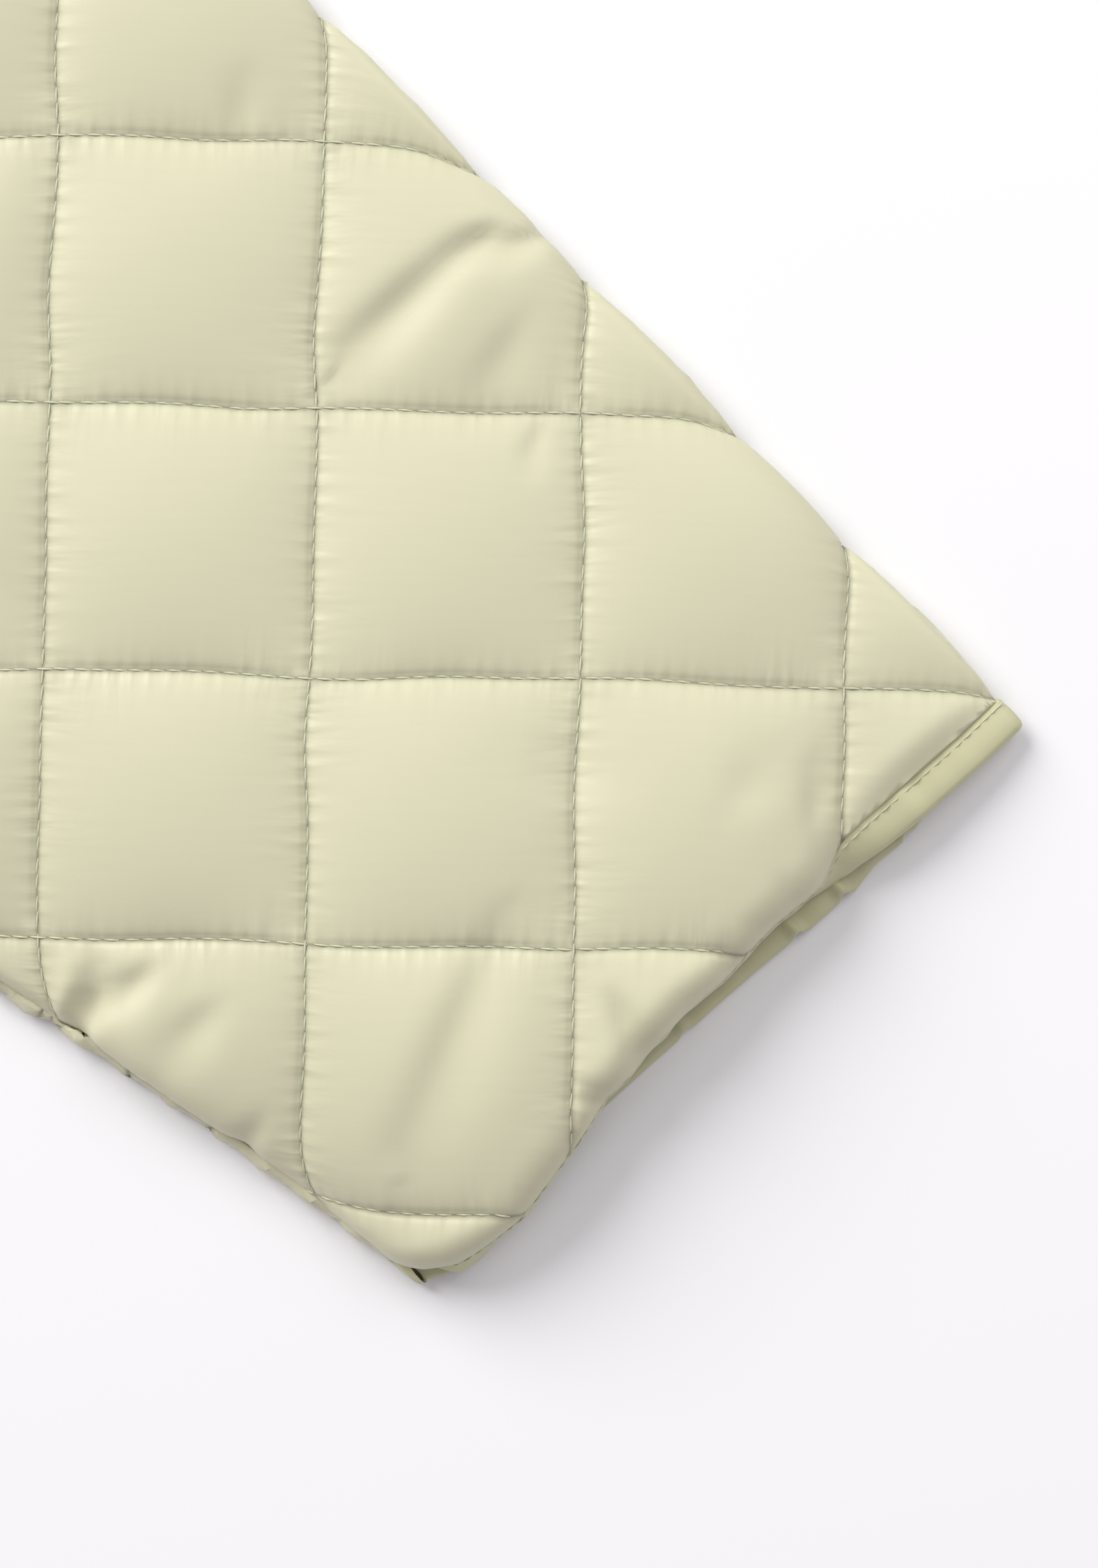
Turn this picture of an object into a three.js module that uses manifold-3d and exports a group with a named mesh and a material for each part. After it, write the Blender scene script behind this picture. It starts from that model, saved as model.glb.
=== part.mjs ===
// Quilted jacket, laid flat on its back with its front up. Millimetres, +Z up, the neck towards +Y.
// The sleeves lie out to the sides at their natural slope, and each is an open flattened tube.
// Left and right are the wearer's: the left sleeve lies towards +X.

import * as THREE from 'three';
import { mergeVertices } from 'three/addons/utils/BufferGeometryUtils.js';
import Module from 'manifold-3d';

const wasm = await Module();
wasm.setup();

// Driving sizes of the cut
const bodyLength = 640; // high point of the shoulder to the hem
const chestHalf = 280; // half of the flat width under the arms
const hemHalf = 284;
const shoulderHalf = 255; // a dropped shoulder
const shoulderFall = 45;
const armholeDepth = 255;
const armholeHollow = 12; // how far the armhole curves in from its chord
const neckHalf = 88;
const backNeckDepth = 20;
const frontNeckDepth = 85;
const frontOverlap = 15; // each front passes the centre line by this much
const sleeveLength = 500; // along the upper fold, from the shoulder to the cuff
const sleeveSlope = THREE.MathUtils.degToRad(25); // below the horizontal
const cuffWidth = 149.5;
const cuffSlant = 5.3; // the underarm end of the cuff lies this much shorter
const bindingWidth = 6.6;

// Thicknesses and clearances
const seamGap = 0.3;
const backThickness = 3;
const stitchedThickness = 2; // quilted cloth along a stitch line
const puffHeight = 3.8; // how far a padded square rises above its stitch lines
const underWall = 2.5; // the sleeve's lower wall, pressed flat by the surface
const overWall = 2.2; // the sleeve's upper wall under a stitch line
const foldHeight = 5.5; // the sleeve's height at its two long edges
const edgeRounding = 2.5; // the soft lower corner of the sleeve's edges
const hollowMargin = 9; // solid fold beside the sleeve's hollow

// Quilting: squares stitched along two crossing sets of lines
const quiltPitch = 48.3;
const bodyQuiltTurn = THREE.MathUtils.degToRad(45);
const sleeveQuiltTurn = THREE.MathUtils.degToRad(19.1);
const quiltSteps = [0, 0.14, 0.5, 0.86]; // mesh lines inside one square, as shares of the pitch
const foldedSteps = [0, 0.14, 0.32, 0.5, 0.68, 0.86]; // in rows of squares that a fold crosses
const foldedColumns = [-3, -2]; // rows of squares counted from the crossing nearest the cuff
const foldedRows = [-2, 1];
const pressedWidth = 12; // beside a seam the padding flattens over this width
const leastPuff = 0.25; // of the sleeve's padding is left at its seams
const crossingFromCuff = 29.3; // the last crossing of stitch lines, back from the cuff's upper corner
const crossingFromFold = 18.2;

// Heights of the sleeve's stitched surface, and where across the sleeve its crest lies
const sleeveSections = [
  { along: -20, crest: 6.4, crestAt: 0.5 },
  { along: 200, crest: 6.8, crestAt: 0.5 },
  { along: 330, crest: 8.2, crestAt: 0.52 },
  { along: 410, crest: 11.5, crestAt: 0.58 },
  { along: 465, crest: 15, crestAt: 0.64 },
  { along: 510, crest: 15.6, crestAt: 0.66 },
];

// The largest folds pressed into the sleeve's upper layer: each a soft trough between two places
const sleeveFolds = [
  { fromCuff: 135, fromFold: 38, toCuff: 135.4, toFold: 20, width: 5.5, depth: 1.7 },
  { fromCuff: 135.4, fromFold: 20, toCuff: 132, toFold: 7, width: 5, depth: 1.9 },
  { fromCuff: 88, fromFold: 148, toCuff: 79.5, toFold: 161, width: 5, depth: 1.4 },
  { fromCuff: 40, fromFold: 94, toCuff: 22, toFold: 134, width: 8, depth: 1.7 },
];

// How far the upper cuff edge rolls under, from 0, lying out, to 1, hanging down into the mouth
const cuffRoll = [
  { across: 0, roll: 0 },
  { across: 0.26, roll: 0.06 },
  { across: 0.36, roll: 0.8 },
  { across: 0.46, roll: 1 },
  { across: 0.84, roll: 1 },
  { across: 0.97, roll: 0.35 },
];
const fullRoll = THREE.MathUtils.degToRad(82);

// Press studs down the centre front
const studCount = 5;
const studRadius = 6.5;
const studHeight = 2.4;
const studSeat = 7.4; // radius of the flat seat pressed round each stud
const pressDepth = 0.1; // a pressed place lies this much below the stitch lines
const firstStudBelowNeck = 20;
const lastStudAboveHem = 62;

// Levels worked out from the thicknesses
const frontLow = backThickness + seamGap;
const overlapLift = stitchedThickness + seamGap;
const liftStart = -frontOverlap - 24;
const liftEnd = -frontOverlap - 10;
const edgeInset = bindingWidth + seamGap;

const shoulderTip = new THREE.Vector2(shoulderHalf, bodyLength - shoulderFall);
const underarm = new THREE.Vector2(chestHalf, shoulderTip.y - armholeDepth);
const clearAbove = 30; // higher than any cloth, for blocks that cut through it

const clothColor = '#d9d6b4';
const bindingColor = '#cfcca8';
const studColor = '#c6c2a0';

function smoothRamp(value, start, end) {
  return THREE.MathUtils.smoothstep(value, start, end);
}

// Linear reading of one column of a table by another
function readTable(table, keyColumn, valueColumn, key) {
  const last = table.length - 1;
  if (key <= table[0][keyColumn]) return table[0][valueColumn];
  if (key >= table[last][keyColumn]) return table[last][valueColumn];
  const upper = table.findIndex((row) => row[keyColumn] > key);
  const [a, b] = [table[upper - 1], table[upper]];
  const share = (key - a[keyColumn]) / (b[keyColumn] - a[keyColumn]);
  return THREE.MathUtils.lerp(a[valueColumn], b[valueColumn], share);
}

function geometryFrom(points, triangles) {
  const geometry = new THREE.BufferGeometry();
  const numbers = points.flatMap((p) => [p.x, p.y, p.z]);
  geometry.setAttribute('position', new THREE.Float32BufferAttribute(numbers, 3));
  geometry.setIndex(triangles.flat());
  return geometry;
}

function signedVolume(geometry) {
  const position = geometry.getAttribute('position');
  const [a, b, c] = [new THREE.Vector3(), new THREE.Vector3(), new THREE.Vector3()];
  let volume = 0;
  for (let i = 0; i < geometry.index.count; i += 3) {
    a.fromBufferAttribute(position, geometry.index.getX(i));
    b.fromBufferAttribute(position, geometry.index.getX(i + 1));
    c.fromBufferAttribute(position, geometry.index.getX(i + 2));
    volume += a.dot(b.cross(c)) / 6;
  }
  return volume;
}

// Turns the faces round where they point inwards
function facingOut(geometry) {
  if (signedVolume(geometry) > 0) return geometry;
  const index = Array.from(geometry.index.array);
  for (let i = 0; i < index.length; i += 3) [index[i], index[i + 1]] = [index[i + 1], index[i]];
  geometry.setIndex(index);
  return geometry;
}

function solidFrom(geometry) {
  const bare = geometry.clone();
  bare.deleteAttribute('normal');
  bare.deleteAttribute('uv');
  const merged = facingOut(mergeVertices(bare, 1e-4));
  return new wasm.Manifold(new wasm.Mesh({
    numProp: 3,
    vertProperties: new Float32Array(merged.getAttribute('position').array),
    triVerts: new Uint32Array(merged.index.array),
  }));
}

function geometryOf(solid) {
  const mesh = solid.getMesh();
  const geometry = new THREE.BufferGeometry();
  const position = new Float32Array((mesh.vertProperties.length / mesh.numProp) * 3);
  for (let i = 0; i < position.length / 3; i += 1) {
    position.set(mesh.vertProperties.subarray(i * mesh.numProp, i * mesh.numProp + 3), i * 3);
  }
  geometry.setAttribute('position', new THREE.BufferAttribute(position, 3));
  geometry.setIndex(Array.from(mesh.triVerts));
  return geometry;
}

// A closed body through rings of points. Joined to its start it is a hoop, and otherwise it has two ends.
function throughRings(rings, isHoop = false) {
  const count = rings[0].length;
  const triangles = [];
  const ringPairs = isHoop ? rings.length : rings.length - 1;
  for (let i = 0; i < ringPairs; i += 1) {
    const here = i * count;
    const next = ((i + 1) % rings.length) * count;
    for (let j = 0; j < count; j += 1) {
      const k = (j + 1) % count;
      triangles.push([here + j, here + k, next + k], [here + j, next + k, next + j]);
    }
  }
  if (!isHoop) {
    const last = (rings.length - 1) * count;
    for (let j = 1; j < count - 1; j += 1) triangles.push([0, j + 1, j], [last, last + j, last + j + 1]);
  }
  return facingOut(geometryFrom(rings.flat(), triangles));
}

// An upright block on an outline, with its lower and upper edges rounded off where asked
function blockOn(outline, low, high, rounding = 0) {
  const geometry = new THREE.ExtrudeGeometry(new THREE.Shape(outline), {
    depth: high - low - 2 * rounding,
    bevelEnabled: rounding > 0,
    bevelThickness: rounding,
    bevelSize: rounding,
    bevelOffset: -rounding,
    bevelSegments: 2,
  });
  geometry.translate(0, 0, low + rounding);
  return geometry;
}

function rectangle(x0, y0, x1, y1) {
  const corners = [[x0, y0], [x1, y0], [x1, y1], [x0, y1]];
  return corners.map(([x, y]) => new THREE.Vector2(x, y));
}

function distanceToPath(point, path) {
  const closest = new THREE.Vector3();
  const spot = new THREE.Vector3(point.x, point.y, 0);
  let least = Infinity;
  for (let i = 0; i + 1 < path.length; i += 1) {
    const line = new THREE.Line3(
      new THREE.Vector3(path[i].x, path[i].y, 0),
      new THREE.Vector3(path[i + 1].x, path[i + 1].y, 0),
    );
    line.closestPointToPoint(spot, true, closest);
    least = Math.min(least, closest.distanceTo(spot));
  }
  return least;
}

// Quilted cloth: a block whose top is puffed between stitch lines and whose underside is one flat plane.
// The mesh follows the stitch lines, so each groove is a row of its edges.
function quiltedBlock({ outline, turn, crossing, low, topAt, finerColumns = [], finerRows = [] }) {
  const unturned = outline.map((p) => p.clone().sub(crossing).rotateAround(new THREE.Vector2(), -turn));
  const bounds = new THREE.Box2().setFromPoints(unturned).expandByScalar(1);
  const meshLines = (from, to, finer) => {
    const lines = [];
    for (let cell = Math.floor(from / quiltPitch); cell * quiltPitch < to; cell += 1) {
      const steps = finer.includes(cell) ? foldedSteps : quiltSteps;
      steps.forEach((step) => lines.push((cell + step) * quiltPitch));
    }
    lines.push(Math.ceil(to / quiltPitch) * quiltPitch);
    return lines;
  };
  const across = meshLines(bounds.min.x, bounds.max.x, finerColumns);
  const up = meshLines(bounds.min.y, bounds.max.y, finerRows);
  const plan = (u, v) => new THREE.Vector2(u, v).rotateAround(new THREE.Vector2(), turn).add(crossing);
  const points = [];
  up.forEach((v) => across.forEach((u) => {
    const spot = plan(u, v);
    const swell = Math.sin((Math.PI * u) / quiltPitch) * Math.sin((Math.PI * v) / quiltPitch);
    points.push(new THREE.Vector3(spot.x, spot.y, topAt(spot, puffHeight * Math.sqrt(Math.abs(swell)))));
  }));
  const [columns, rows] = [across.length, up.length];
  const at = (i, j) => j * columns + i;
  const triangles = [];
  for (let j = 0; j + 1 < rows; j += 1) {
    for (let i = 0; i + 1 < columns; i += 1) {
      triangles.push([at(i, j), at(i + 1, j), at(i + 1, j + 1)], [at(i, j), at(i + 1, j + 1), at(i, j + 1)]);
    }
  }
  const corners = [[0, 0], [columns - 1, 0], [columns - 1, rows - 1], [0, rows - 1]].map(([i, j]) => {
    points.push(points[at(i, j)].clone().setZ(low));
    return points.length - 1;
  });
  triangles.push([corners[0], corners[2], corners[1]], [corners[0], corners[3], corners[2]]);
  const columnList = across.map((_, i) => i);
  const rowList = up.map((_, j) => j);
  const sides = [
    columnList.map((i) => at(i, 0)),
    rowList.map((j) => at(columns - 1, j)),
    columnList.map((i) => at(i, rows - 1)).reverse(),
    rowList.map((j) => at(0, j)).reverse(),
  ];
  sides.forEach((side, s) => {
    const [from, to] = [corners[s], corners[(s + 1) % corners.length]];
    for (let i = 0; i + 1 < side.length; i += 1) triangles.push([from, side[i + 1], side[i]]);
    triangles.push([from, to, side[side.length - 1]]);
  });
  return geometryFrom(points, triangles);
}

// The direction into the cloth at a point of its finished edge, which runs with the cloth on its left
function inwardAt(edge, i) {
  const ahead = edge[Math.min(i + 1, edge.length - 1)];
  const behind = edge[Math.max(i - 1, 0)];
  const along = ahead.clone().sub(behind).normalize();
  return new THREE.Vector2(-along.y, along.x);
}

// The cloth's own edge, which starts just inside the binding
function behindBinding(edge) {
  return edge.map((point, i) => point.clone().addScaledVector(inwardAt(edge, i), edgeInset));
}

// A binding along a finished edge. Its section has soft corners on the outer side.
function bindingAlong(edge, low, thickness, liftAt = () => 0) {
  const soft = 0.7;
  const rings = edge.map((point, i) => {
    const inward = inwardAt(edge, i);
    const base = low + liftAt(point.x);
    const corner = (inset, height) => {
      const spot = point.clone().addScaledVector(inward, inset);
      return new THREE.Vector3(spot.x, spot.y, base + height);
    };
    return [
      corner(soft, 0), corner(bindingWidth, 0), corner(bindingWidth, thickness),
      corner(soft, thickness), corner(0, thickness - soft), corner(0, soft),
    ];
  });
  return throughRings(rings);
}

// The armhole seam from the shoulder down to the underarm, moved out from the body by a gap
function armholeLine(gap) {
  const chord = underarm.clone().sub(shoulderTip).normalize();
  const outward = new THREE.Vector2(-chord.y, chord.x);
  const middle = shoulderTip.clone().lerp(underarm, 0.5).addScaledVector(outward, -2 * armholeHollow);
  const curve = new THREE.QuadraticBezierCurve(shoulderTip, middle, underarm);
  return curve.getPoints(12).map((p) => p.addScaledVector(outward, gap));
}

// The neck's finished edge from its left high point, an arc of an ellipse that hangs between the shoulders
function neckLine(depth, toX, steps = 16) {
  const lastAngle = Math.acos(toX / neckHalf);
  return Array.from({ length: steps + 1 }, (_, i) => {
    const angle = (lastAngle * i) / steps;
    return new THREE.Vector2(neckHalf * Math.cos(angle), bodyLength - depth * Math.sin(angle));
  });
}

const mirroredPoints = (points) => points.map((p) => new THREE.Vector2(-p.x, p.y)).reverse();
const backNeck = neckLine(backNeckDepth, -neckHalf);
const frontNeck = neckLine(frontNeckDepth, -frontOverlap);
const hemCorner = new THREE.Vector2(hemHalf, edgeInset);

function backPanel() {
  const half = [hemCorner, ...armholeLine(0).reverse()];
  return blockOn([...half, ...behindBinding(backNeck), ...mirroredPoints(half)], 0, backThickness);
}

// Where a front's centre edge meets its neck edge
function centreNeckPoint(x) {
  const share = x / (neckHalf + edgeInset);
  return new THREE.Vector2(x, bodyLength - (frontNeckDepth + edgeInset) * Math.sqrt(1 - share * share));
}

// How far the upper front is raised where it rides over the lower one
const liftOverLap = (x) => overlapLift * smoothRamp(x, liftStart, liftEnd);

// A front lying towards +X, from its centre edge to its side. The upper one rides over the other.
function frontPanel(isUpper) {
  const centreEdge = edgeInset - frontOverlap;
  const sideEdge = [hemCorner, ...armholeLine(0).reverse()];
  const neck = behindBinding(frontNeck).filter((point) => point.x > centreEdge + 1);
  const hemStart = new THREE.Vector2(centreEdge, edgeInset);
  const outline = [hemStart, ...sideEdge, ...neck, centreNeckPoint(centreEdge)];
  const lift = (x) => (isUpper ? liftOverLap(-x) : 0);
  const topAt = (spot, rise) => {
    const pressed = smoothRamp(distanceToPath(spot, [...outline, outline[0]]), 0, pressedWidth);
    return frontLow + stitchedThickness + lift(spot.x) + rise * pressed;
  };
  const quilted = quiltedBlock({
    outline, turn: bodyQuiltTurn, crossing: new THREE.Vector2(0, 0), low: frontLow, topAt,
  });
  const outlineBlock = blockOn(outline, frontLow, clearAbove);
  const panel = solidFrom(quilted).intersect(solidFrom(outlineBlock));
  return isUpper ? panel.subtract(spaceUnderUpperFront()) : panel.subtract(spaceOverLowerFront());
}

// The upper front's underside is hollowed where the other front's edge lies beneath it
function spaceUnderUpperFront() {
  const beyond = -frontOverlap * 2;
  const profile = [
    new THREE.Vector2(beyond, frontLow - 1),
    new THREE.Vector2(-liftStart, frontLow - 1),
    new THREE.Vector2(-liftStart, frontLow),
    new THREE.Vector2(-liftEnd, frontLow + overlapLift),
    new THREE.Vector2(beyond, frontLow + overlapLift),
  ];
  const shape = new THREE.Shape(profile);
  const geometry = new THREE.ExtrudeGeometry(shape, { depth: bodyLength, bevelEnabled: false });
  geometry.rotateX(Math.PI / 2).translate(0, bodyLength, 0);
  return solidFrom(geometry);
}

// The lower front is pressed flat under the upper one
function spaceOverLowerFront() {
  const strip = rectangle(-2 * frontOverlap, 0, frontOverlap + 1.5, bodyLength);
  const level = frontLow + stitchedThickness - pressDepth;
  return solidFrom(blockOn(strip, level, clearAbove));
}

const studHeights = Array.from({ length: studCount }, (_, i) => THREE.MathUtils.lerp(
  bodyLength - frontNeckDepth - firstStudBelowNeck, lastStudAboveHem, i / (studCount - 1),
));
const studLevel = frontLow + overlapLift + stitchedThickness - pressDepth;

// Flat round seats for the studs in the upper front
function studSeats() {
  const depth = clearAbove - studLevel;
  const seat = new THREE.CylinderGeometry(studSeat, studSeat, depth, 24);
  seat.rotateX(Math.PI / 2).translate(0, 0, studLevel + depth / 2);
  return studHeights.map((y) => solidFrom(seat.clone().translate(0, y, 0)));
}

function studCap() {
  const dome = new THREE.QuadraticBezierCurve(
    new THREE.Vector2(studRadius, studHeight * 0.45),
    new THREE.Vector2(studRadius * 0.9, studHeight),
    new THREE.Vector2(0, studHeight),
  );
  const profile = [new THREE.Vector2(0, 0), new THREE.Vector2(studRadius, 0), ...dome.getPoints(4)];
  return geometryOf(solidFrom(new THREE.LatheGeometry(profile, 20).rotateX(Math.PI / 2)));
}

// The sleeve's own plan: along runs down its upper fold and across runs from there to the underarm edge
const alongDirection = new THREE.Vector2(Math.cos(sleeveSlope), -Math.sin(sleeveSlope));
const acrossDirection = new THREE.Vector2(-Math.sin(sleeveSlope), -Math.cos(sleeveSlope));

function sleevePlan(along, across) {
  return shoulderTip.clone().addScaledVector(alongDirection, along).addScaledVector(acrossDirection, across);
}

function inSleeve(spot) {
  const from = spot.clone().sub(shoulderTip);
  return { along: from.dot(alongDirection), across: from.dot(acrossDirection) };
}

const sleeveAtUnderarm = inSleeve(underarm);

function sleeveWidthAt(along) {
  const share = (along - sleeveAtUnderarm.along) / (sleeveLength - cuffSlant - sleeveAtUnderarm.along);
  return THREE.MathUtils.lerp(sleeveAtUnderarm.across, cuffWidth, share);
}

const mouthAt = (across) => sleeveLength - (cuffSlant * across) / cuffWidth;

// Height of the stitched upper surface
function sleeveHeight(along, across) {
  const crest = readTable(sleeveSections, 'along', 'crest', along);
  const crestAt = readTable(sleeveSections, 'along', 'crestAt', along);
  const share = THREE.MathUtils.clamp(across / sleeveWidthAt(along), 0, 1);
  const skewed = share ** (Math.log(0.5) / Math.log(crestAt));
  return foldHeight + (crest - foldHeight) * Math.sqrt(4 * skewed * (1 - skewed));
}

// How deep the folds are at a place on the upper layer
function foldDepthAt(along, across) {
  const spot = new THREE.Vector2(sleeveLength - along, across);
  return sleeveFolds.reduce((depth, fold) => {
    const start = new THREE.Vector2(fold.fromCuff, fold.fromFold);
    const end = new THREE.Vector2(fold.toCuff, fold.toFold);
    const away = distanceToPath(spot, [start, end]) / fold.width;
    return Math.max(depth, fold.depth * Math.exp(-away * away));
  }, 0);
}

function sleeveHollow() {
  const stations = [-20, 80, 200, 270, 330, 370, 410, 440, 465, 485, 510];
  const shares = [0, 0.06, 0.15, 0.3, 0.5, 0.7, 0.85, 0.94, 1];
  const rings = stations.map((along) => {
    const width = sleeveWidthAt(along) - 2 * hollowMargin;
    const at = (share, height) => {
      const across = hollowMargin + share * width;
      const spot = sleevePlan(along, across);
      return new THREE.Vector3(spot.x, spot.y, height(across));
    };
    const ceiling = (across) => Math.max(sleeveHeight(along, across) - overWall, underWall + seamGap);
    const floorRing = [at(1, () => underWall), at(0, () => underWall)];
    return [...floorRing, ...shares.map((share) => at(share, ceiling))];
  });
  return solidFrom(throughRings(rings));
}

function sleeve() {
  const cuffTop = sleevePlan(mouthAt(0) - edgeInset, 0);
  const cuffUnder = sleevePlan(mouthAt(cuffWidth) - edgeInset, sleeveWidthAt(mouthAt(cuffWidth) - edgeInset));
  const outline = [...armholeLine(seamGap), cuffUnder, cuffTop];
  const seams = [armholeLine(seamGap), [underarm, cuffUnder], [cuffUnder, cuffTop]];
  const crossing = sleevePlan(sleeveLength - crossingFromCuff, crossingFromFold);
  const topAt = (spot, rise) => {
    const { along, across } = inSleeve(spot);
    const pressed = Math.min(...seams.map((seam) => smoothRamp(distanceToPath(spot, seam), 0, pressedWidth)));
    const padded = rise * Math.max(pressed, leastPuff);
    return sleeveHeight(along, across) + Math.max(padded - foldDepthAt(along, across), 0);
  };
  const finer = { finerColumns: foldedColumns, finerRows: foldedRows };
  const quilted = quiltedBlock({ outline, turn: sleeveQuiltTurn, crossing, low: 0, topAt, ...finer });
  const outlineBlock = blockOn(outline, 0, clearAbove, edgeRounding);
  return solidFrom(quilted).intersect(solidFrom(outlineBlock)).subtract(sleeveHollow());
}

// The middle of the cuff's wall, seen along the sleeve: over the top to the underarm, then back below
function cuffWallPath() {
  const half = stitchedThickness / 2;
  const top = [0.05, 0.1, 0.18, 0.26, 0.31, 0.36, 0.41, 0.46, 0.54, 0.62, 0.7, 0.78, 0.84, 0.9, 0.95];
  const topMiddle = (share) => sleeveHeight(sleeveLength, share * cuffWidth) - half;
  const turnAt = (share, level) => ({ across: share * cuffWidth, height: level, roll: 0 });
  const foldMiddle = foldHeight / 2;
  const over = top.map((share) => ({
    across: share * cuffWidth,
    height: topMiddle(share),
    roll: readTable(cuffRoll, 'across', 'roll', share),
  }));
  const outerEdge = half / cuffWidth;
  const underarmTurn = [turnAt(0.98, 6.2), turnAt(1 - outerEdge, foldMiddle + 1), turnAt(0.985, half + 0.5)];
  const below = [0.95, 0.8, 0.65, 0.5, 0.35, 0.2, 0.05].map((share) => turnAt(share, half));
  const foldTurn = [turnAt(0.015, half + 0.5), turnAt(outerEdge, foldMiddle), turnAt(0.018, 5)];
  return [...over, ...underarmTurn, ...below, ...foldTurn];
}

// One hoop of binding round the mouth, lying out or rolled down into it as the cloth does
function cuffBinding() {
  const path = cuffWallPath();
  const half = stitchedThickness / 2;
  const rings = path.map((station, i) => {
    const ahead = path[(i + 1) % path.length];
    const behind = path[(i + path.length - 1) % path.length];
    const run = new THREE.Vector2(ahead.across - behind.across, ahead.height - behind.height).normalize();
    const outward = { across: -run.y, height: run.x };
    const angle = station.roll * fullRoll;
    const [lean, reach] = [Math.sin(angle), Math.cos(angle)];
    const start = mouthAt(station.across) - bindingWidth + half * lean;
    const corner = (forward, out) => {
      const along = start + forward * reach + out * lean;
      const across = station.across + outward.across * (out * reach - forward * lean);
      const height = station.height + half * lean + outward.height * (out * reach - forward * lean);
      const spot = sleevePlan(along, across);
      return new THREE.Vector3(spot.x, spot.y, Math.max(height, 0));
    };
    return [corner(0, half), corner(bindingWidth, half), corner(bindingWidth, -half), corner(0, -half)];
  });
  return throughRings(rings, true);
}

function mirrored(geometry) {
  return facingOut(geometry.clone().scale(-1, 1, 1));
}

function hemBinding(fromX, toX, low, thickness, liftAt) {
  const liftMiddle = (liftStart + liftEnd) / 2;
  const places = [fromX, liftStart, liftMiddle, liftEnd, toX].filter((x) => x >= fromX);
  return bindingAlong(places.map((x) => new THREE.Vector2(x, 0)), low, thickness, liftAt);
}

// The centre edge of a front, finished from just above the hem binding to just below the neck binding
function centreBinding(x, low) {
  const ends = [edgeInset, centreNeckPoint(0).y - seamGap];
  const downwards = x > 0 ? ends : ends.reverse();
  return bindingAlong(downwards.map((y) => new THREE.Vector2(x, y)), low, stitchedThickness);
}

const cloth = (geometry, name) => named(geometry, name, clothColor, 0.5, 0);
const binding = (geometry, name) => named(geometry, name, bindingColor, 0.5, 0);
const stud = (geometry, name) => named(geometry, name, studColor, 0.4, 0.2);

function named(geometry, name, color, roughness, metalness) {
  const mesh = new THREE.Mesh(geometry, new THREE.MeshStandardMaterial({ color, roughness, metalness }));
  mesh.name = name;
  return mesh;
}

function jacket() {
  const group = new THREE.Group();
  const leftSleeve = geometryOf(sleeve());
  const leftCuff = cuffBinding();
  const lowerFront = geometryOf(frontPanel(false));
  const upperSolid = studSeats().reduce((panel, seat) => panel.subtract(seat), frontPanel(true));
  const upperFront = mirrored(geometryOf(upperSolid));
  const upperHem = hemBinding(-hemHalf, frontOverlap, frontLow, stitchedThickness, liftOverLap);
  const upperNeck = bindingAlong(mirroredPoints(frontNeck), frontLow, stitchedThickness, liftOverLap);
  group.add(
    cloth(backPanel(), 'back'),
    cloth(lowerFront, 'front_left'),
    cloth(upperFront, 'front_right'),
    cloth(leftSleeve, 'sleeve_left'),
    cloth(mirrored(leftSleeve), 'sleeve_right'),
    binding(leftCuff, 'cuff_binding_left'),
    binding(mirrored(leftCuff), 'cuff_binding_right'),
    binding(hemBinding(-hemHalf, hemHalf, 0, backThickness), 'hem_binding_back'),
    binding(hemBinding(-frontOverlap, hemHalf, frontLow, stitchedThickness), 'hem_binding_front_left'),
    binding(upperHem, 'hem_binding_front_right'),
    binding(centreBinding(-frontOverlap, frontLow), 'front_binding_left'),
    binding(centreBinding(frontOverlap, frontLow + overlapLift), 'front_binding_right'),
    binding(bindingAlong(backNeck, 0, backThickness), 'neck_binding_back'),
    binding(bindingAlong(frontNeck, frontLow, stitchedThickness), 'neck_binding_front_left'),
    binding(upperNeck, 'neck_binding_front_right'),
  );
  const cap = studCap();
  studHeights.forEach((y, i) => {
    const mesh = stud(cap.clone(), `stud_cap_${i + 1}`);
    mesh.position.set(0, y, studLevel + seamGap);
    group.add(mesh);
  });
  return group;
}

// The origin is under the middle of the whole garment, on the surface that it rests on
const model = jacket();
const middle = new THREE.Box3().setFromObject(model).getCenter(new THREE.Vector3());
model.position.set(-middle.x, -middle.y, 0);

export default model;
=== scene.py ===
# A quilted jacket laid flat on its back, looked down on close to the cuff of its left sleeve
# Metres, +Z up, the neck towards +Y. Left and right are the wearer's: the left sleeve lies towards +X.
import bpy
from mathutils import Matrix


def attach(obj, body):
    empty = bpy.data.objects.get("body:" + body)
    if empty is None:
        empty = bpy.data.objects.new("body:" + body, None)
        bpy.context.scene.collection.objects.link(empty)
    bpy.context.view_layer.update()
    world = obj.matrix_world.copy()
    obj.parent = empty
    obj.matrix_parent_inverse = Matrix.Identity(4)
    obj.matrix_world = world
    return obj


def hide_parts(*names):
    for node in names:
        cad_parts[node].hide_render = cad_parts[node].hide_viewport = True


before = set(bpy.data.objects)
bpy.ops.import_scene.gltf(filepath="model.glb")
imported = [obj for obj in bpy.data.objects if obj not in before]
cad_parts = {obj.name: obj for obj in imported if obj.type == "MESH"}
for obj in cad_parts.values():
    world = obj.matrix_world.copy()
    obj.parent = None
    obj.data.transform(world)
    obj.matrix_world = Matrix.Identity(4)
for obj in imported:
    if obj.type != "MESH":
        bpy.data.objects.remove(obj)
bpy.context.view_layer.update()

import math
import bmesh
import bpy
import numpy as np
from mathutils import Vector

mm = 0.001
scene = bpy.context.scene

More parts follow.
